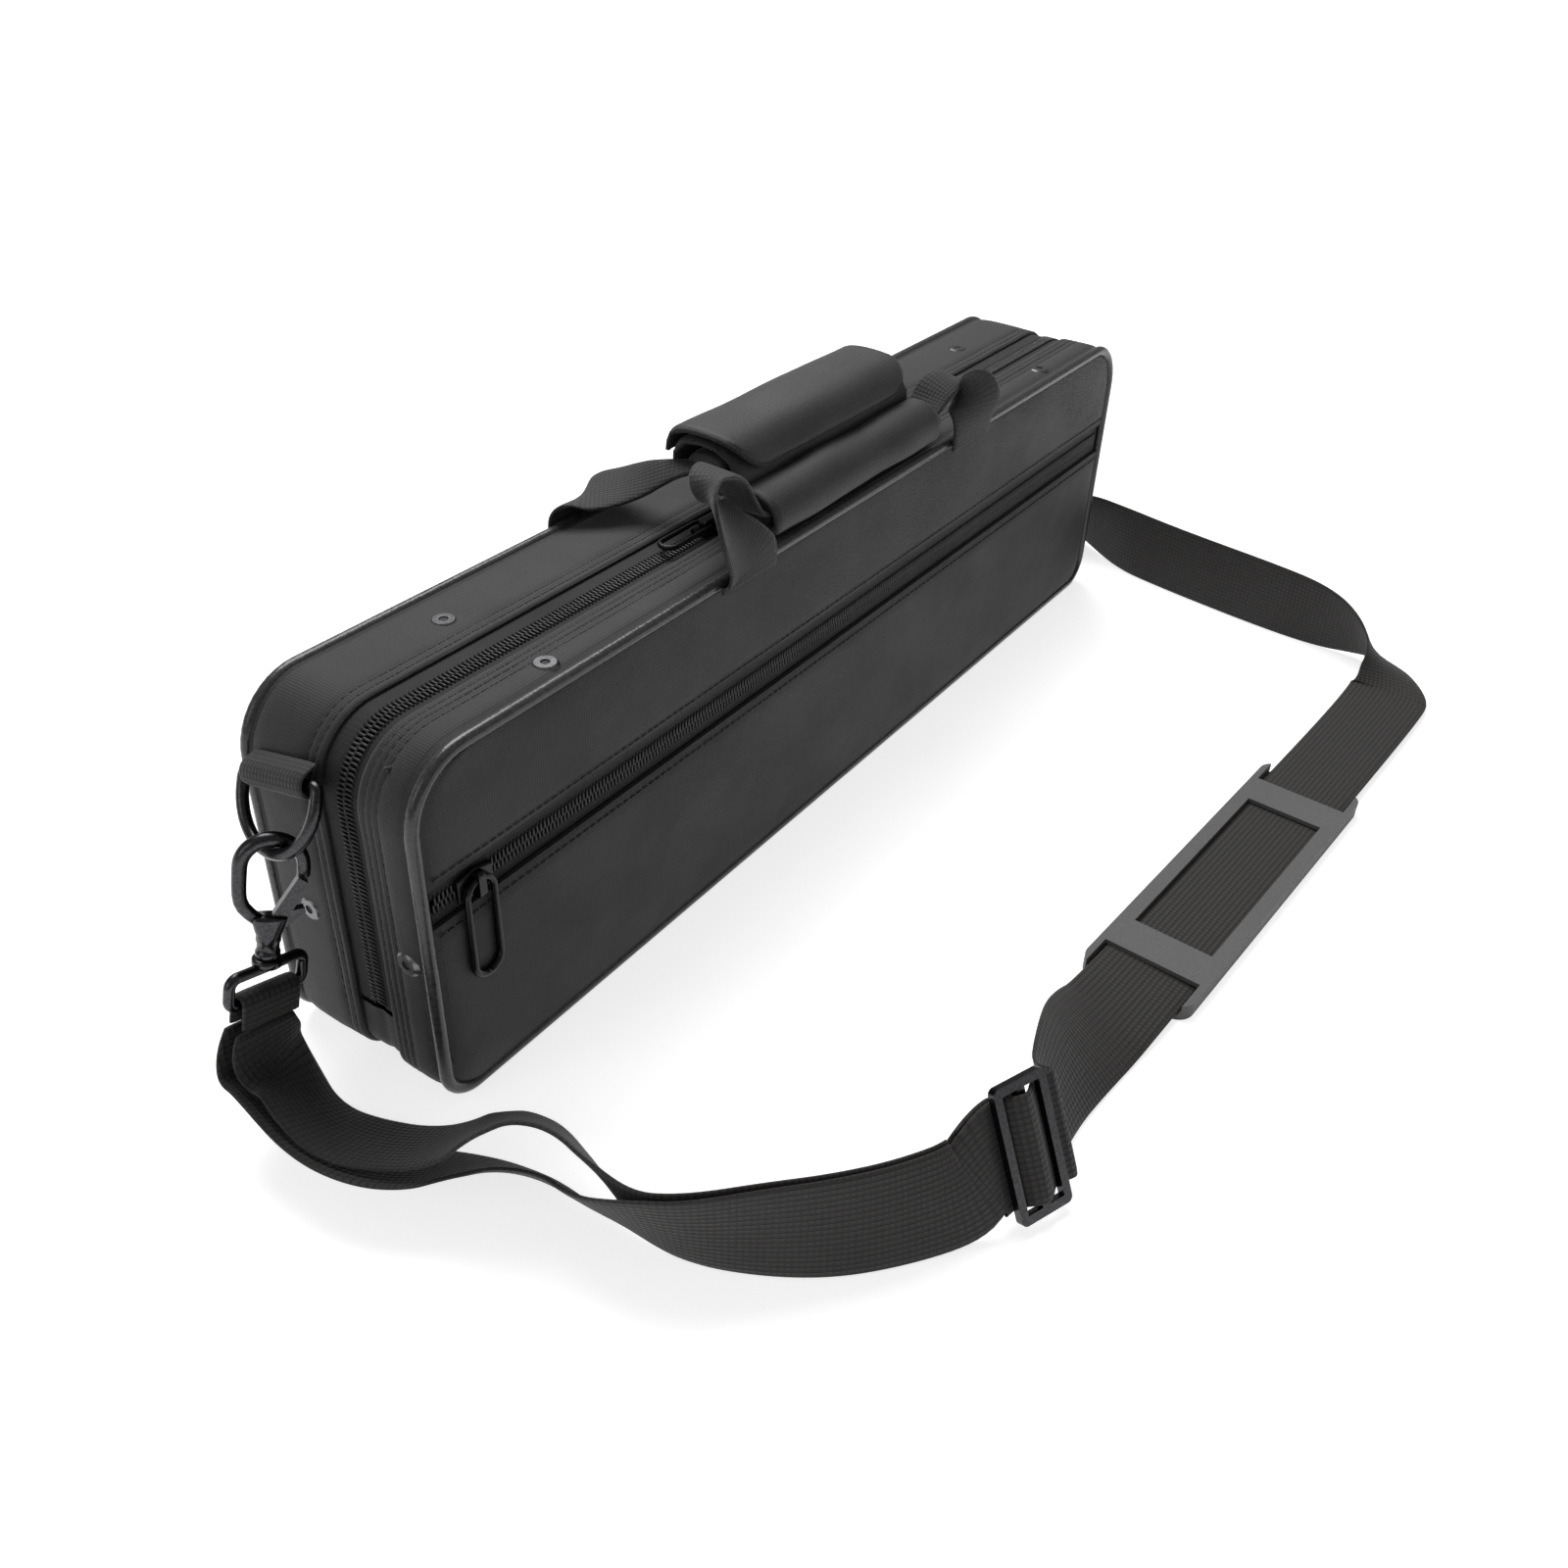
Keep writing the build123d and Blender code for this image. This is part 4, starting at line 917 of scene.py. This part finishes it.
@dataclass
class Handles:
    """Web handles, the wrapped grips and the flap that closes over them."""

    grip_half: float = 51.0
    web_thickness: float = 1.8
    fill: float = 0.7
    back_web: Sequence[Station] = stations(
        (-70, 34.2, 112, 1, 0, 0, 29), (-70, 34.2, 116, 1, 0, 0, 29), (-70, 34.3, 119.5, 1, 0.05, 0, 29),
        (-68.8, 33, 122.2, 0.95, 0.3, 0.05, 28), (-65.8, 29, 124, 0.87, 0.5, 0.1, 26),
        (-61.8, 23.5, 125.5, 0.75, 0.65, 0.12, 23), (-58.8, 17, 128.5, 0.5, 0.85, 0.15, 18),
        (-56.2, 10.5, 132, 0.25, 0.95, 0.1, 14), (-53.5, 4.5, 134.4, 0.1, 1, 0, 12.5),
        (-49, 0, 134.6, 0, 1, 0, 12.5), (-41, -2.5, 134.5, 0, 1, 0, 12.5),
    )
    front_web: Sequence[Station] = stations(
        (-69, -34.2, 114, 1, 0, 0, 28), (-69, -34.2, 117, 1, 0, 0, 28), (-69.5, -34.4, 120, 1, 0, 0, 28),
        (-73, -34.6, 125, 1, 0.12, 0, 28), (-78.5, -34.2, 131.5, 0.93, 0.35, 0, 26),
        (-82, -32.4, 138, 0.8, 0.6, 0, 23), (-83.5, -29.6, 144, 0.55, 0.83, 0, 20),
        (-80, -26.4, 148, 0.3, 0.95, 0, 17), (-72, -24, 148, 0.1, 1, 0, 15.5),
        (-65, -22.8, 143, 0, 1, 0, 14.5), (-59.5, -22.5, 135, 0, 1, 0, 13.5),
        (-54.5, -22.5, 128, 0, 1, 0, 13), (-49, -22.5, 126, 0, 1, 0, 13),
        (-42, -22.5, 125.6, 0, 1, 0, 13), (42, -22.5, 125.6, 0, 1, 0, 13), (50, -22.5, 126, 0, 1, 0, 13),
        (56, -22.6, 130, 0, 1, 0, 14), (61.5, -23.6, 135.5, -0.15, 1, 0, 16),
        (67.5, -26.4, 137.6, -0.4, 0.9, 0.05, 20), (71.5, -30, 135, -0.7, 0.7, 0.1, 24),
        (73, -33, 130, -0.93, 0.35, 0.05, 27), (72.5, -34.3, 124.5, -1, 0.1, 0, 28),
        (72, -34.3, 119.5, -1, 0, 0, 28), (72, -34.2, 117, -1, 0, 0, 28), (72, -34.2, 114, -1, 0, 0, 28),
    )

    def core(self, y: float, z: float, width: float, height: float) -> Form:
        """Foam core of a grip.

        Args:
            y, z: Place of its axis.
            width, height: Its size.

        Returns:
            The core, a little uneven along its length and narrower at its ends.
        """
        rows, steps, half = [], 40, self.grip_half - 1.0
        for i in range(steps + 1):
            x = -half + 2 * half * i / steps
            end = min(1.0, 0.86 + (self.grip_half - abs(x)) / 20)
            row = []
            for a in turn(32):
                c, s = squircle(a, 0.77)
                wave = end * (1 + 0.05 * ripple(x * 0.06, math.cos(a) * 2, math.sin(a) * 2)) / 2
                row.append((x, y + c * width * wave, z + s * height * wave))
            rows.append(row)
        return grid(rows, closed_rows=True, ends=True)

    def build(self) -> None:
        """Make both handles and the flap."""
        other = [((-c[0], c[1], c[2]), (-w[0], w[1], w[2]), s) for c, w, s in reversed(self.back_web)]
        for name, body, route in (("back", "base", [*self.back_web, *other]), ("front", "lid", self.front_web)):
            webbing = Webbing(route, self.web_thickness)
            web = webbing.form().piece(f"{name}_handle_webbing", HANDLE_WEB, body)
            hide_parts(f"{name}_handle_web")
        for name, body, core in (
            ("back", "base", self.core(-2.5, 134.5, 15.4, 10.6)),
            ("front", "lid", self.core(-22.5, 125.6, 11.5, 9.5)),
        ):
            roll = core.piece(f"{name}_grip_padding", GRIP_VINYL, body)
            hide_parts(f"{name}_grip_roll")
        back = [(8.6, 132.0), (9.0, 139.0), (5.0, 142.8), (-3.0, 143.4), (-10.5, 142.2), (-14.8, 137.8),
                (-16.8, 132.8), (-15.2, 129.2), (-9.5, 128.4), (-4.5, 129.2)]
        front = [(-17.4, 121.4), (-14.8, 126.6), (-17.6, 131.6), (-23.4, 132.6), (-29.2, 130.2),
                 (-32.0, 124.8), (-30.6, 119.9), (-25.0, 119.4)]
        flap = [(11.4, 138.0), (11.2, 143.6), (6.5, 146.0), (-2.0, 146.6), (-10.0, 145.8), (-15.0, 143.0),
                (-17.6, 139.0), (-18.4, 136.6)]
        for name, body, sheet in (
            ("back_grip_wrap", "base", Sheet(back, 2.4, 4.0)),
            ("front_grip_wrap", "lid", Sheet(front, 2.2, 4.0)),
            ("grip_flap_cover", "flap", Sheet(flap, 2.6, 15.0)),
        ):
            made = sheet.form().piece(name, GRIP_VINYL, body)
            sheet.edge(0.85).piece(f"{name}_binding", BINDING, body)
            sheet.cross_seam(sheet.half - 8.0).piece(f"{name}_seam", THREAD, body)
            if body == "flap":
                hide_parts("grip_flap")


@dataclass
class EndHardware:
    """Webbing tabs, D-rings, swivel hooks and strap eyes of both ends."""

    bar: Point = (-212.55, 12.0, 100.0)
    bottom: Point = (-221.939, 8.028, 82.794)
    tab_tilt: float = -13.0
    ring_lean: float = 28.0
    hook_lean: float = 15.0
    hook_turn: float = -35.0

    def tab_place(self) -> Matrix:
        """Axes of the left tab, tilted in the plane of the case's end."""
        return Matrix.Translation(self.bar) @ turned(self.tab_tilt, "X")

    def ring_place(self) -> Matrix:
        """Axes of the left D-ring: x along its bar, y up it."""
        flat = Matrix(((0, 0, 1), (1, 0, 0), (0, 1, 0))).to_4x4()
        return self.tab_place() @ turned(self.ring_lean, "Y") @ flat

    def hook_place(self) -> Matrix:
        """Axes of the left hook: z up along it."""
        return Matrix.Translation(self.bottom) @ turned(self.hook_lean, "Y")

    def ring(self) -> Form:
        """D-shaped wire, drawn from the top right corner round by the bar."""
        half, corner = 15.55, 2.2
        path = arc(half - corner, -corner, corner, 0, 90, 6)
        path += arc(corner - half, -corner, corner, 90, 180, 6) + arc(0, half - 20.0, half, 180, 360, 28)
        return tube([Vector((x, y, 0)) for x, y in path], 1.75, closed=True)

    def hook(self) -> Form:
        """Cast hook: a bow that thickens towards its crown, a waisted root and a turned barrel."""
        centre, bend, sides, levels = -3.7, 8.0, 24, 8
        path = [(-2.6, -20.0), (-5.6, -17.6), (-7.7, -14.2), (-8.0, -9.0)]
        path += [*arc(0, centre, bend, 180, 0, 18), (bend, centre - 2.6)]
        line = smooth_line([(x, 0.0, z) for x, z in path], 2)
        shares = [min(1.0, 1.15 * i / (len(line) - 1)) for i in range(len(line))]
        form = tube(line, [1.8 + 0.35 * math.sin(math.pi * share) for share in shares])
        rows = []
        for i in range(levels + 1):
            t = i / levels
            ring = [squircle(a, 1.0 - 0.35 * t) for a in turn(sides)]
            rows.append([(c * (3.3 + 1.5 * t**0.8), s * (3.3 - 0.6 * t), -24.0 + 5.5 * t) for c, s in ring])
        root = grid(rows, closed_rows=True)
        root.faces.append(tuple(range(levels * sides, (levels + 1) * sides)))
        form.join(root)
        form.join(spin([(0, -31.0), (2.9, -31.0), (3.3, -30.6), (3.3, -29.2), (3.0, -28.9), (3.0, -26.2),
                        (3.3, -25.9), (3.3, -24.0)]))
        return form

    def eye(self) -> Form:
        """Rectangular eye on a collar that turns in the barrel."""
        form = tube([Vector((x, 0, y - 38.6)) for x, y in rounded(23.8, 8.8, 2.6)], 1.6, closed=True)
        form.join(spin([(1.7, -27.5), (1.7, -31.2), (3.7, -31.2), (4.1, -31.6), (4.1, -33.2), (3.7, -33.6),
                        (0, -33.6)]))
        return form

    def tab(self) -> Form:
        """Webbing tube round the ring's bar, with its seam above."""
        path = ((3.4, 4.3), (1.6, 4.0), (-1.6, 3.3), (-3.3, 0.8), (-2.9, -2.2), (0.2, -3.3), (2.6, -2.3))
        return Webbing(ribbon([(x, 0, z) for x, z in path], (0, 1, 0), 26.0)).form()

    def loop(self) -> Form:
        """Strap end folded round the eye's bar."""
        side = ((-2.55, -49.6), (-2.55, -46.5), (-2.6, -42.6), (-1.6, -40.4))
        path = side + tuple((-y, z) for y, z in reversed(side))
        return Webbing(ribbon([(0, y, z) for y, z in path], (1, 0, 0), 18.6)).form()

    def build(self) -> None:
        """Make every piece for both ends."""
        bow = self.hook_place() @ turned(self.hook_turn, "Z")
        for name, mirror in (("left", False), ("right", True)):
            for form, place, finish, node, body in (
                (self.tab(), self.tab_place(), HANDLE_WEB, "ring_tab", "base"),
                (self.ring(), self.ring_place(), GUNMETAL, "d_ring", f"ring_{name}"),
                (self.hook(), bow, GUNMETAL, "snap_hook", f"hook_{name}"),
                (self.eye(), self.hook_place(), GUNMETAL, "swivel_eye", f"eye_{name}"),
                (self.loop(), self.hook_place(), WEBBING, "strap_loop", f"eye_{name}"),
            ):
                made = placed(form, place, mirror).piece(f"{node}_finished_{name}", finish, body)
                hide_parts(f"{node}_{name}")


@dataclass
class Interior:
    """Padded board in the lid."""

    half_length: float = 203.8
    low_z: float = 6.2
    high_z: float = 111.8
    back_y: float = -20.8
    thickness: float = 14.0
    columns: int = 48
    levels: int = 24
    fill: float = 0.8

    def pad(self) -> Form:
        """Crowned pad with pulled-in corners, flat where it is glued to the wall."""
        rows = []
        middle, half = (self.low_z + self.high_z) / 2, (self.high_z - self.low_z) / 2
        for i in range(self.columns + 1):
            u = math.sin(math.pi / 2 * (2 * i / self.columns - 1))
            row = []
            for j in range(self.levels + 1):
                v = math.sin(math.pi / 2 * (2 * j / self.levels - 1))
                edge = max((1 - abs(u) ** 14) * (1 - abs(v) ** 6), 0.0)
                crown = self.thickness * (0.15 + 0.85 * edge**0.4) - 0.45 * (u * u + v * v)
                pull, pinch = 1 - 0.012 * (1 - v * v), 1 - 0.03 * (1 - u**8)
                wave = 0.25 * ripple(u * 9, v * 4, 1.0)
                y = self.back_y + crown + wave
                row.append((u * self.half_length * pull, y, middle + v * half * pinch))
            rows.append(row)
        form = grid(rows)
        floor = grid([[(x, self.back_y, z) for x, _, z in row] for row in rows])
        floor.faces = [tuple(reversed(f)) for f in floor.faces]
        form.join(floor)
        width, last = self.levels + 1, self.columns * (self.levels + 1)
        rim = [*range(self.levels), *range(self.levels, last + self.levels, width)]
        rim += [*range(last + self.levels, last, -1), *range(last, 0, -width)]
        count = last + width
        form.faces += [(b, a, a + count, b + count) for a, b in zip(rim, rim[1:] + rim[:1])]
        return form

    def build(self) -> None:
        """Make the pad."""
        made = self.pad().piece("lid_plush_pad", PLUSH, "lid")
        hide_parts("lid_pad")


@dataclass
class ShoulderStrap:
    """Doubled webbing strap, woven through its tri-glide."""

    width: float = 32.0
    layer_gap: float = 2.2
    tail_end_y: float = 5.5
    right_part: Sequence[Station] = stations(
        (236.7, 5.5, 34.2, -0.966, 0, -0.26, 18.6), (238.4, 5.5, 27.4, -0.966, 0, -0.26, 25.3),
        (238.4, 2, 19.5, -0.93, 0.1, 0.4, 28), (239.5, -7, 16.6, -0.7, 0.05, 0.75, 32),
        (239.5, -21, 16.4, -0.3, 0, 0.95, 32), (230, -44, 16.3, 0, 0, 1, 32), (225, -66, 16.3, 0, 0, 1, 32),
        (221, -90, 16.3, 0, 0, 1, 32), (217, -118, 16.3, 0, 0, 1, 32), (214, -144, 16, -0.1, 0.05, 1, 32),
        (210.5, -163, 14.4, -0.35, 0.35, 0.85, 32), (204, -177.5, 9.6, -0.2, 0.8, 0.55, 32),
        (192, -185.6, 5, 0, 0.97, 0.22, 32),
    )
    flat_part: Sequence[Station] = stations(
        (182, -187.1, 3.1, 0, 1, 0, 32), (63, -178.95, 3.1, 0, 1, 0, 32), (-56, -170.8, 3.1, 0, 1, 0, 32),
    )
    left_twist: Sequence[Station] = stations(
        (-72, -170, 6, 0.05, 0.94, 0.34, 32), (-88, -170.4, 10.5, 0.1, 0.8, 0.6, 32),
        (-105, -172.4, 14, 0.14, 0.6, 0.78, 32), (-122, -176.2, 15.2, 0.17, 0.48, 0.87, 32),
    )
    glide_centre: Point = (-139, -179.3, 20.6)
    glide_along: Point = (-0.93, 0.36, 0)
    glide_across: Point = (0.17, 0.44, 0.88)
    doubled_part: Sequence[Station] = stations(
        (-160, -171.8, 16.4, 0.1, 0.3, 0.95, 32), (-176, -161.6, 16.3, 0.1, 0.22, 0.97, 32),
        (-190, -150, 16.8, 0.1, 0.16, 0.98, 32), (-202, -136, 17, 0.02, 0.06, 1, 32),
        (-213, -121, 17, -0.15, -0.1, 0.98, 32), (-217.5, -108, 16.2, -0.3, -0.25, 0.93, 32),
    )
    main_rise: Sequence[Station] = stations(
        (-219.5, -95, 14.6, -0.45, -0.44, 0.78, 32), (-218.8, -80, 13.6, -0.44, -0.48, 0.76, 32),
        (-222, -68, 13, -0.45, -0.5, 0.74, 32), (-228.2, -57, 11.6, -0.52, -0.57, 0.63, 32),
        (-235.6, -46, 9.6, -0.57, -0.64, 0.5, 32), (-241.7, -34, 9.4, -0.66, -0.56, 0.5, 32),
        (-244.2, -19, 9.6, -0.68, -0.53, 0.5, 32), (-243.4, -3, 11.4, -0.7, -0.46, 0.55, 32),
        (-240.8, 9, 16.5, -0.85, -0.2, 0.45, 29),
    )
    tail_rise: Sequence[Station] = stations(
        (-213.5, -90, 22, -0.5, -0.45, 0.74, 32), (-213, -79, 27.5, -0.52, -0.5, 0.69, 32),
        (-216.5, -69, 28.5, -0.49, -0.53, 0.69, 32), (-222, -62, 25.5, -0.5, -0.53, 0.69, 32),
        (-228.6, -53.2, 17.8, -0.57, -0.61, 0.54, 32), (-234.1, -40.4, 12.6, -0.63, -0.63, 0.45, 32),
        (-239, -26, 11.2, -0.73, -0.57, 0.38, 32), (-240, -12, 12.6, -0.76, -0.5, 0.42, 32),
        (-237.4, 1, 18, -0.85, -0.3, 0.43, 29),
    )
    left_end: Sequence[Station] = stations(
        (-238.4, 10.5, 27.4, -0.966, 0, 0.26, 25.3), (-236.7, 10.5, 34.2, -0.966, 0, 0.26, 18.6),
    )

    def weave(self, places: Iterable[Pair]) -> list[Station]:
        """Stations through the tri-glide from pairs of distance along the strap and offset out from it."""
        along, across = Vector(self.glide_along), Vector(self.glide_across)
        out = -along.cross(across).normalized()
        spots = [Vector(self.glide_centre) + along.normalized() * s + out * o for s, o in places]
        return ribbon([tuple(spot) for spot in spots], self.glide_across, self.width)

    def inward(self, layer: Sequence[Station]) -> list[Station]:
        """Stations moved towards the case by the gap between the layers."""
        moved = []
        for i, (centre, across, width) in enumerate(layer):
            along = Vector(layer[min(i + 1, len(layer) - 1)][0]) - Vector(layer[max(i - 1, 0)][0])
            normal = along.cross(Vector(across)).normalized()
            moved.append((tuple(Vector(centre) + normal * self.layer_gap), across, width))
        return moved

    def declare(self, route: list[Station], name: str, node: str) -> None:
        """Args:
            route: Its stations.
            name: Piece name.
            node: CAD node that it replaces.
        """
        webbing = Webbing(route)
        line = [p * MM for p in webbing.lines()[0]]
        made = webbing.form().piece(name, WEBBING, "base")
        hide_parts(node)

    def build(self, nodes: dict) -> None:
        """Make the strap's two layers.

        Args:
            nodes: CAD nodes by name. Not used.
        """
        through = [(-15.0, -1.0), (-9.0, -2.45), (-6.5, -2.45), (-1.4, 2.45), (1.4, 2.45), (6.5, -2.45),
                   (9.0, -2.45), (15.0, -0.4)]
        under = [(-1.4, -2.45), (1.6, -2.45), (6.4, -4.65), (9.0, -4.65), (15.0, -2.6)]
        main_route = [*self.right_part, *self.flat_part, *self.left_twist, *self.weave(through),
                      *self.doubled_part, *self.main_rise, *self.left_end]
        self.declare(main_route, "strap_main_webbing", "strap_main")
        tail_route = [*self.weave(under), *self.inward(self.doubled_part), *self.tail_rise]
        tail_route += [((c[0], self.tail_end_y, c[2]), w, s) for c, w, s in self.left_end]
        self.declare(tail_route, "strap_tail_webbing", "strap_tail")


@dataclass
class Wardrobe:
    """Finishes of the CAD pieces that are carried over."""

    nodes: dict
    finishes: tuple[tuple[Finish, str], ...] = (
        (OXFORD_EDGE, "back_shell front_shell upper_front_panel pocket_panel"),
        (ZIPPER_TAPE, "back_zipper_tape front_zipper_tape upper_pocket_tape lower_pocket_tape"),
        (BLACK_LACQUER, "left_zip_slider right_zip_slider pocket_zip_slider"),
        (EYELET, "back_rivets front_rivets"),
        (PLUSH, "flute_tray"),
        (GUNMETAL, "tri_glide hook_gate_left hook_gate_right"),
        (PAD_RUBBER, "shoulder_pad"),
    )

    def build(self) -> None:
        """Give each carried-over node its finish."""
        for finish, names in self.finishes:
            for name in names.split():
                for slot in self.nodes[name].material_slots:
                    slot.material = finish.material()
                log.info("%s: dressed in %s", name, finish.name)


# --- Studio ---


@dataclass
class Studio:
    """Camera, lamps and floor."""

    camera_place: Point = (-393.128, -263.39, 320.476)
    azimuth: float = -56.618
    elevation: float = 35.539
    roll: float = 2.315
    lens: float = 33.13
    sensor: float = 36.0
    floor_half: float = 6.0
    floor_colour: str = "#D8D8D8"
    glow_radii: Pair = (0.6, 1.8)
    glow_strengths: Pair = (0.74, 1.0)
    fill_light: float = 0.22
    lamps: tuple[tuple[str, Point, Point, float, float], ...] = (
        ("top_lamp", (0.5, 0.7, 1.6), (0, 0, 0.1), 1.2, 30.0),
        ("left_lamp", (-1.6, 0.3, 0.9), (0, 0, 0.06), 0.9, 3.5),
        ("front_lamp", (0.6, -1.6, 0.8), (0, 0, 0.06), 1.0, 0.4),
    )

    def show(self, name: str, data: object) -> bpy.types.Object:
        """Return a new object of the scene."""
        made = bpy.data.objects.new(name, data)
        bpy.context.scene.collection.objects.link(made)
        return made

    def camera(self) -> None:
        """Set the camera up at its viewing angle."""
        a, e, r = (math.radians(v) for v in (self.azimuth, self.elevation, self.roll))
        back = Vector((math.sin(a) * math.cos(e), -math.cos(a) * math.cos(e), math.sin(e)))
        right = Vector((math.cos(a), math.sin(a), 0.0))
        up = back.cross(right)
        rolled = right * math.cos(r) + up * math.sin(r), up * math.cos(r) - right * math.sin(r), back
        data = bpy.data.cameras.new("camera")
        data.lens = self.lens
        data.sensor_width = self.sensor
        data.clip_start = 0.01
        made = self.show("camera", data)
        turn_to = Matrix(rolled).transposed().to_4x4()
        made.matrix_world = Matrix.Translation(Vector(self.camera_place) * MM) @ turn_to
        bpy.context.scene.camera = made

    def lamp(self, name: str, place: Point, target: Point, size: float, power: float) -> None:
        """Add a square soft light.

        Args:
            name: Lamp name.
            place: Where it stands, in metres.
            target: What it points at, in metres.
            size: Width in metres.
            power: Power in watts.
        """
        data = bpy.data.lights.new(name, "AREA")
        data.size = size
        data.energy = power
        made = self.show(name, data)
        made.location = place
        made.rotation_euler = (Vector(target) - Vector(place)).to_track_quat("-Z", "Y").to_euler()

    def floor(self) -> None:
        """Lay a plain pale floor that keeps a soft shadow and looks white far from the case."""
        half = self.floor_half
        mesh = bpy.data.meshes.new("floor")
        corners = [(-half, -half, 0), (half, -half, 0), (half, half, 0), (-half, half, 0)]
        mesh.from_pydata(corners, [], [(0, 1, 2, 3)])
        paper = bpy.data.materials.new("matt paper sweep")
        nodes = Nodes.emptied(paper)
        diffuse = nodes.add("BsdfDiffuse", {"Color": linear(self.floor_colour)})[0]
        far = nodes.add("VectorMath", {0: nodes.add("TexCoord")["Object"]}, operation="LENGTH")["Value"]
        strength = nodes.ranged(far, *self.glow_radii, *self.glow_strengths)
        glow = nodes.add("Emission", {"Color": (1, 1, 1, 1), "Strength": strength})[0]
        both = nodes.add("AddShader", {0: diffuse, 1: glow})[0]
        seen = nodes.seen_by("Camera", "Glossy", "Transmission")
        mix = nodes.add("MixShader", {0: seen, 1: diffuse, 2: both})
        nodes.add("OutputMaterial", {"Surface": mix[0]})
        mesh.materials.append(paper)
        self.show("floor", mesh)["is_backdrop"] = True

    def world(self) -> None:
        """Light the scene evenly and show white behind it."""
        world = bpy.data.worlds.new("studio")
        nodes = Nodes.emptied(world)
        strength = nodes.ranged(nodes.seen_by("Camera", "Transmission"), 0.0, 1.0, self.fill_light, 1.0)
        glow = nodes.add("Background", {"Color": (1, 1, 1, 1), "Strength": strength})
        nodes.add("OutputWorld", {"Surface": glow[0]})
        bpy.context.scene.world = world

    def build(self) -> None:
        """Set up everything that isn't the case."""
        bpy.context.scene.view_settings.view_transform = "Standard"
        self.camera()
        self.world()
        self.floor()
        for lamp in self.lamps:
            self.lamp(*lamp)


def main() -> dict:
    """Build the studio and the case's sub-assemblies in order.

    Returns:
        The box of the CAD model and of the dressed model.
    """
    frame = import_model()
    cad_box = [list(corner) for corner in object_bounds()]
    Studio().build()
    nodes = frame["nodes"]
    Wardrobe(nodes).build()
    case = CaseBody()
    case.build()
    Zipper(case).build()
    Interior().build()
    Handles().build()
    EndHardware().build()
    ShoulderStrap().build(nodes)
    seen_box = [list(corner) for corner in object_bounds()]
    return {"cad": cad_box, "scene": seen_box}


if __name__ == "__main__":
    logging.basicConfig(level=logging.INFO, format="%(message)s")
    sizes = main()
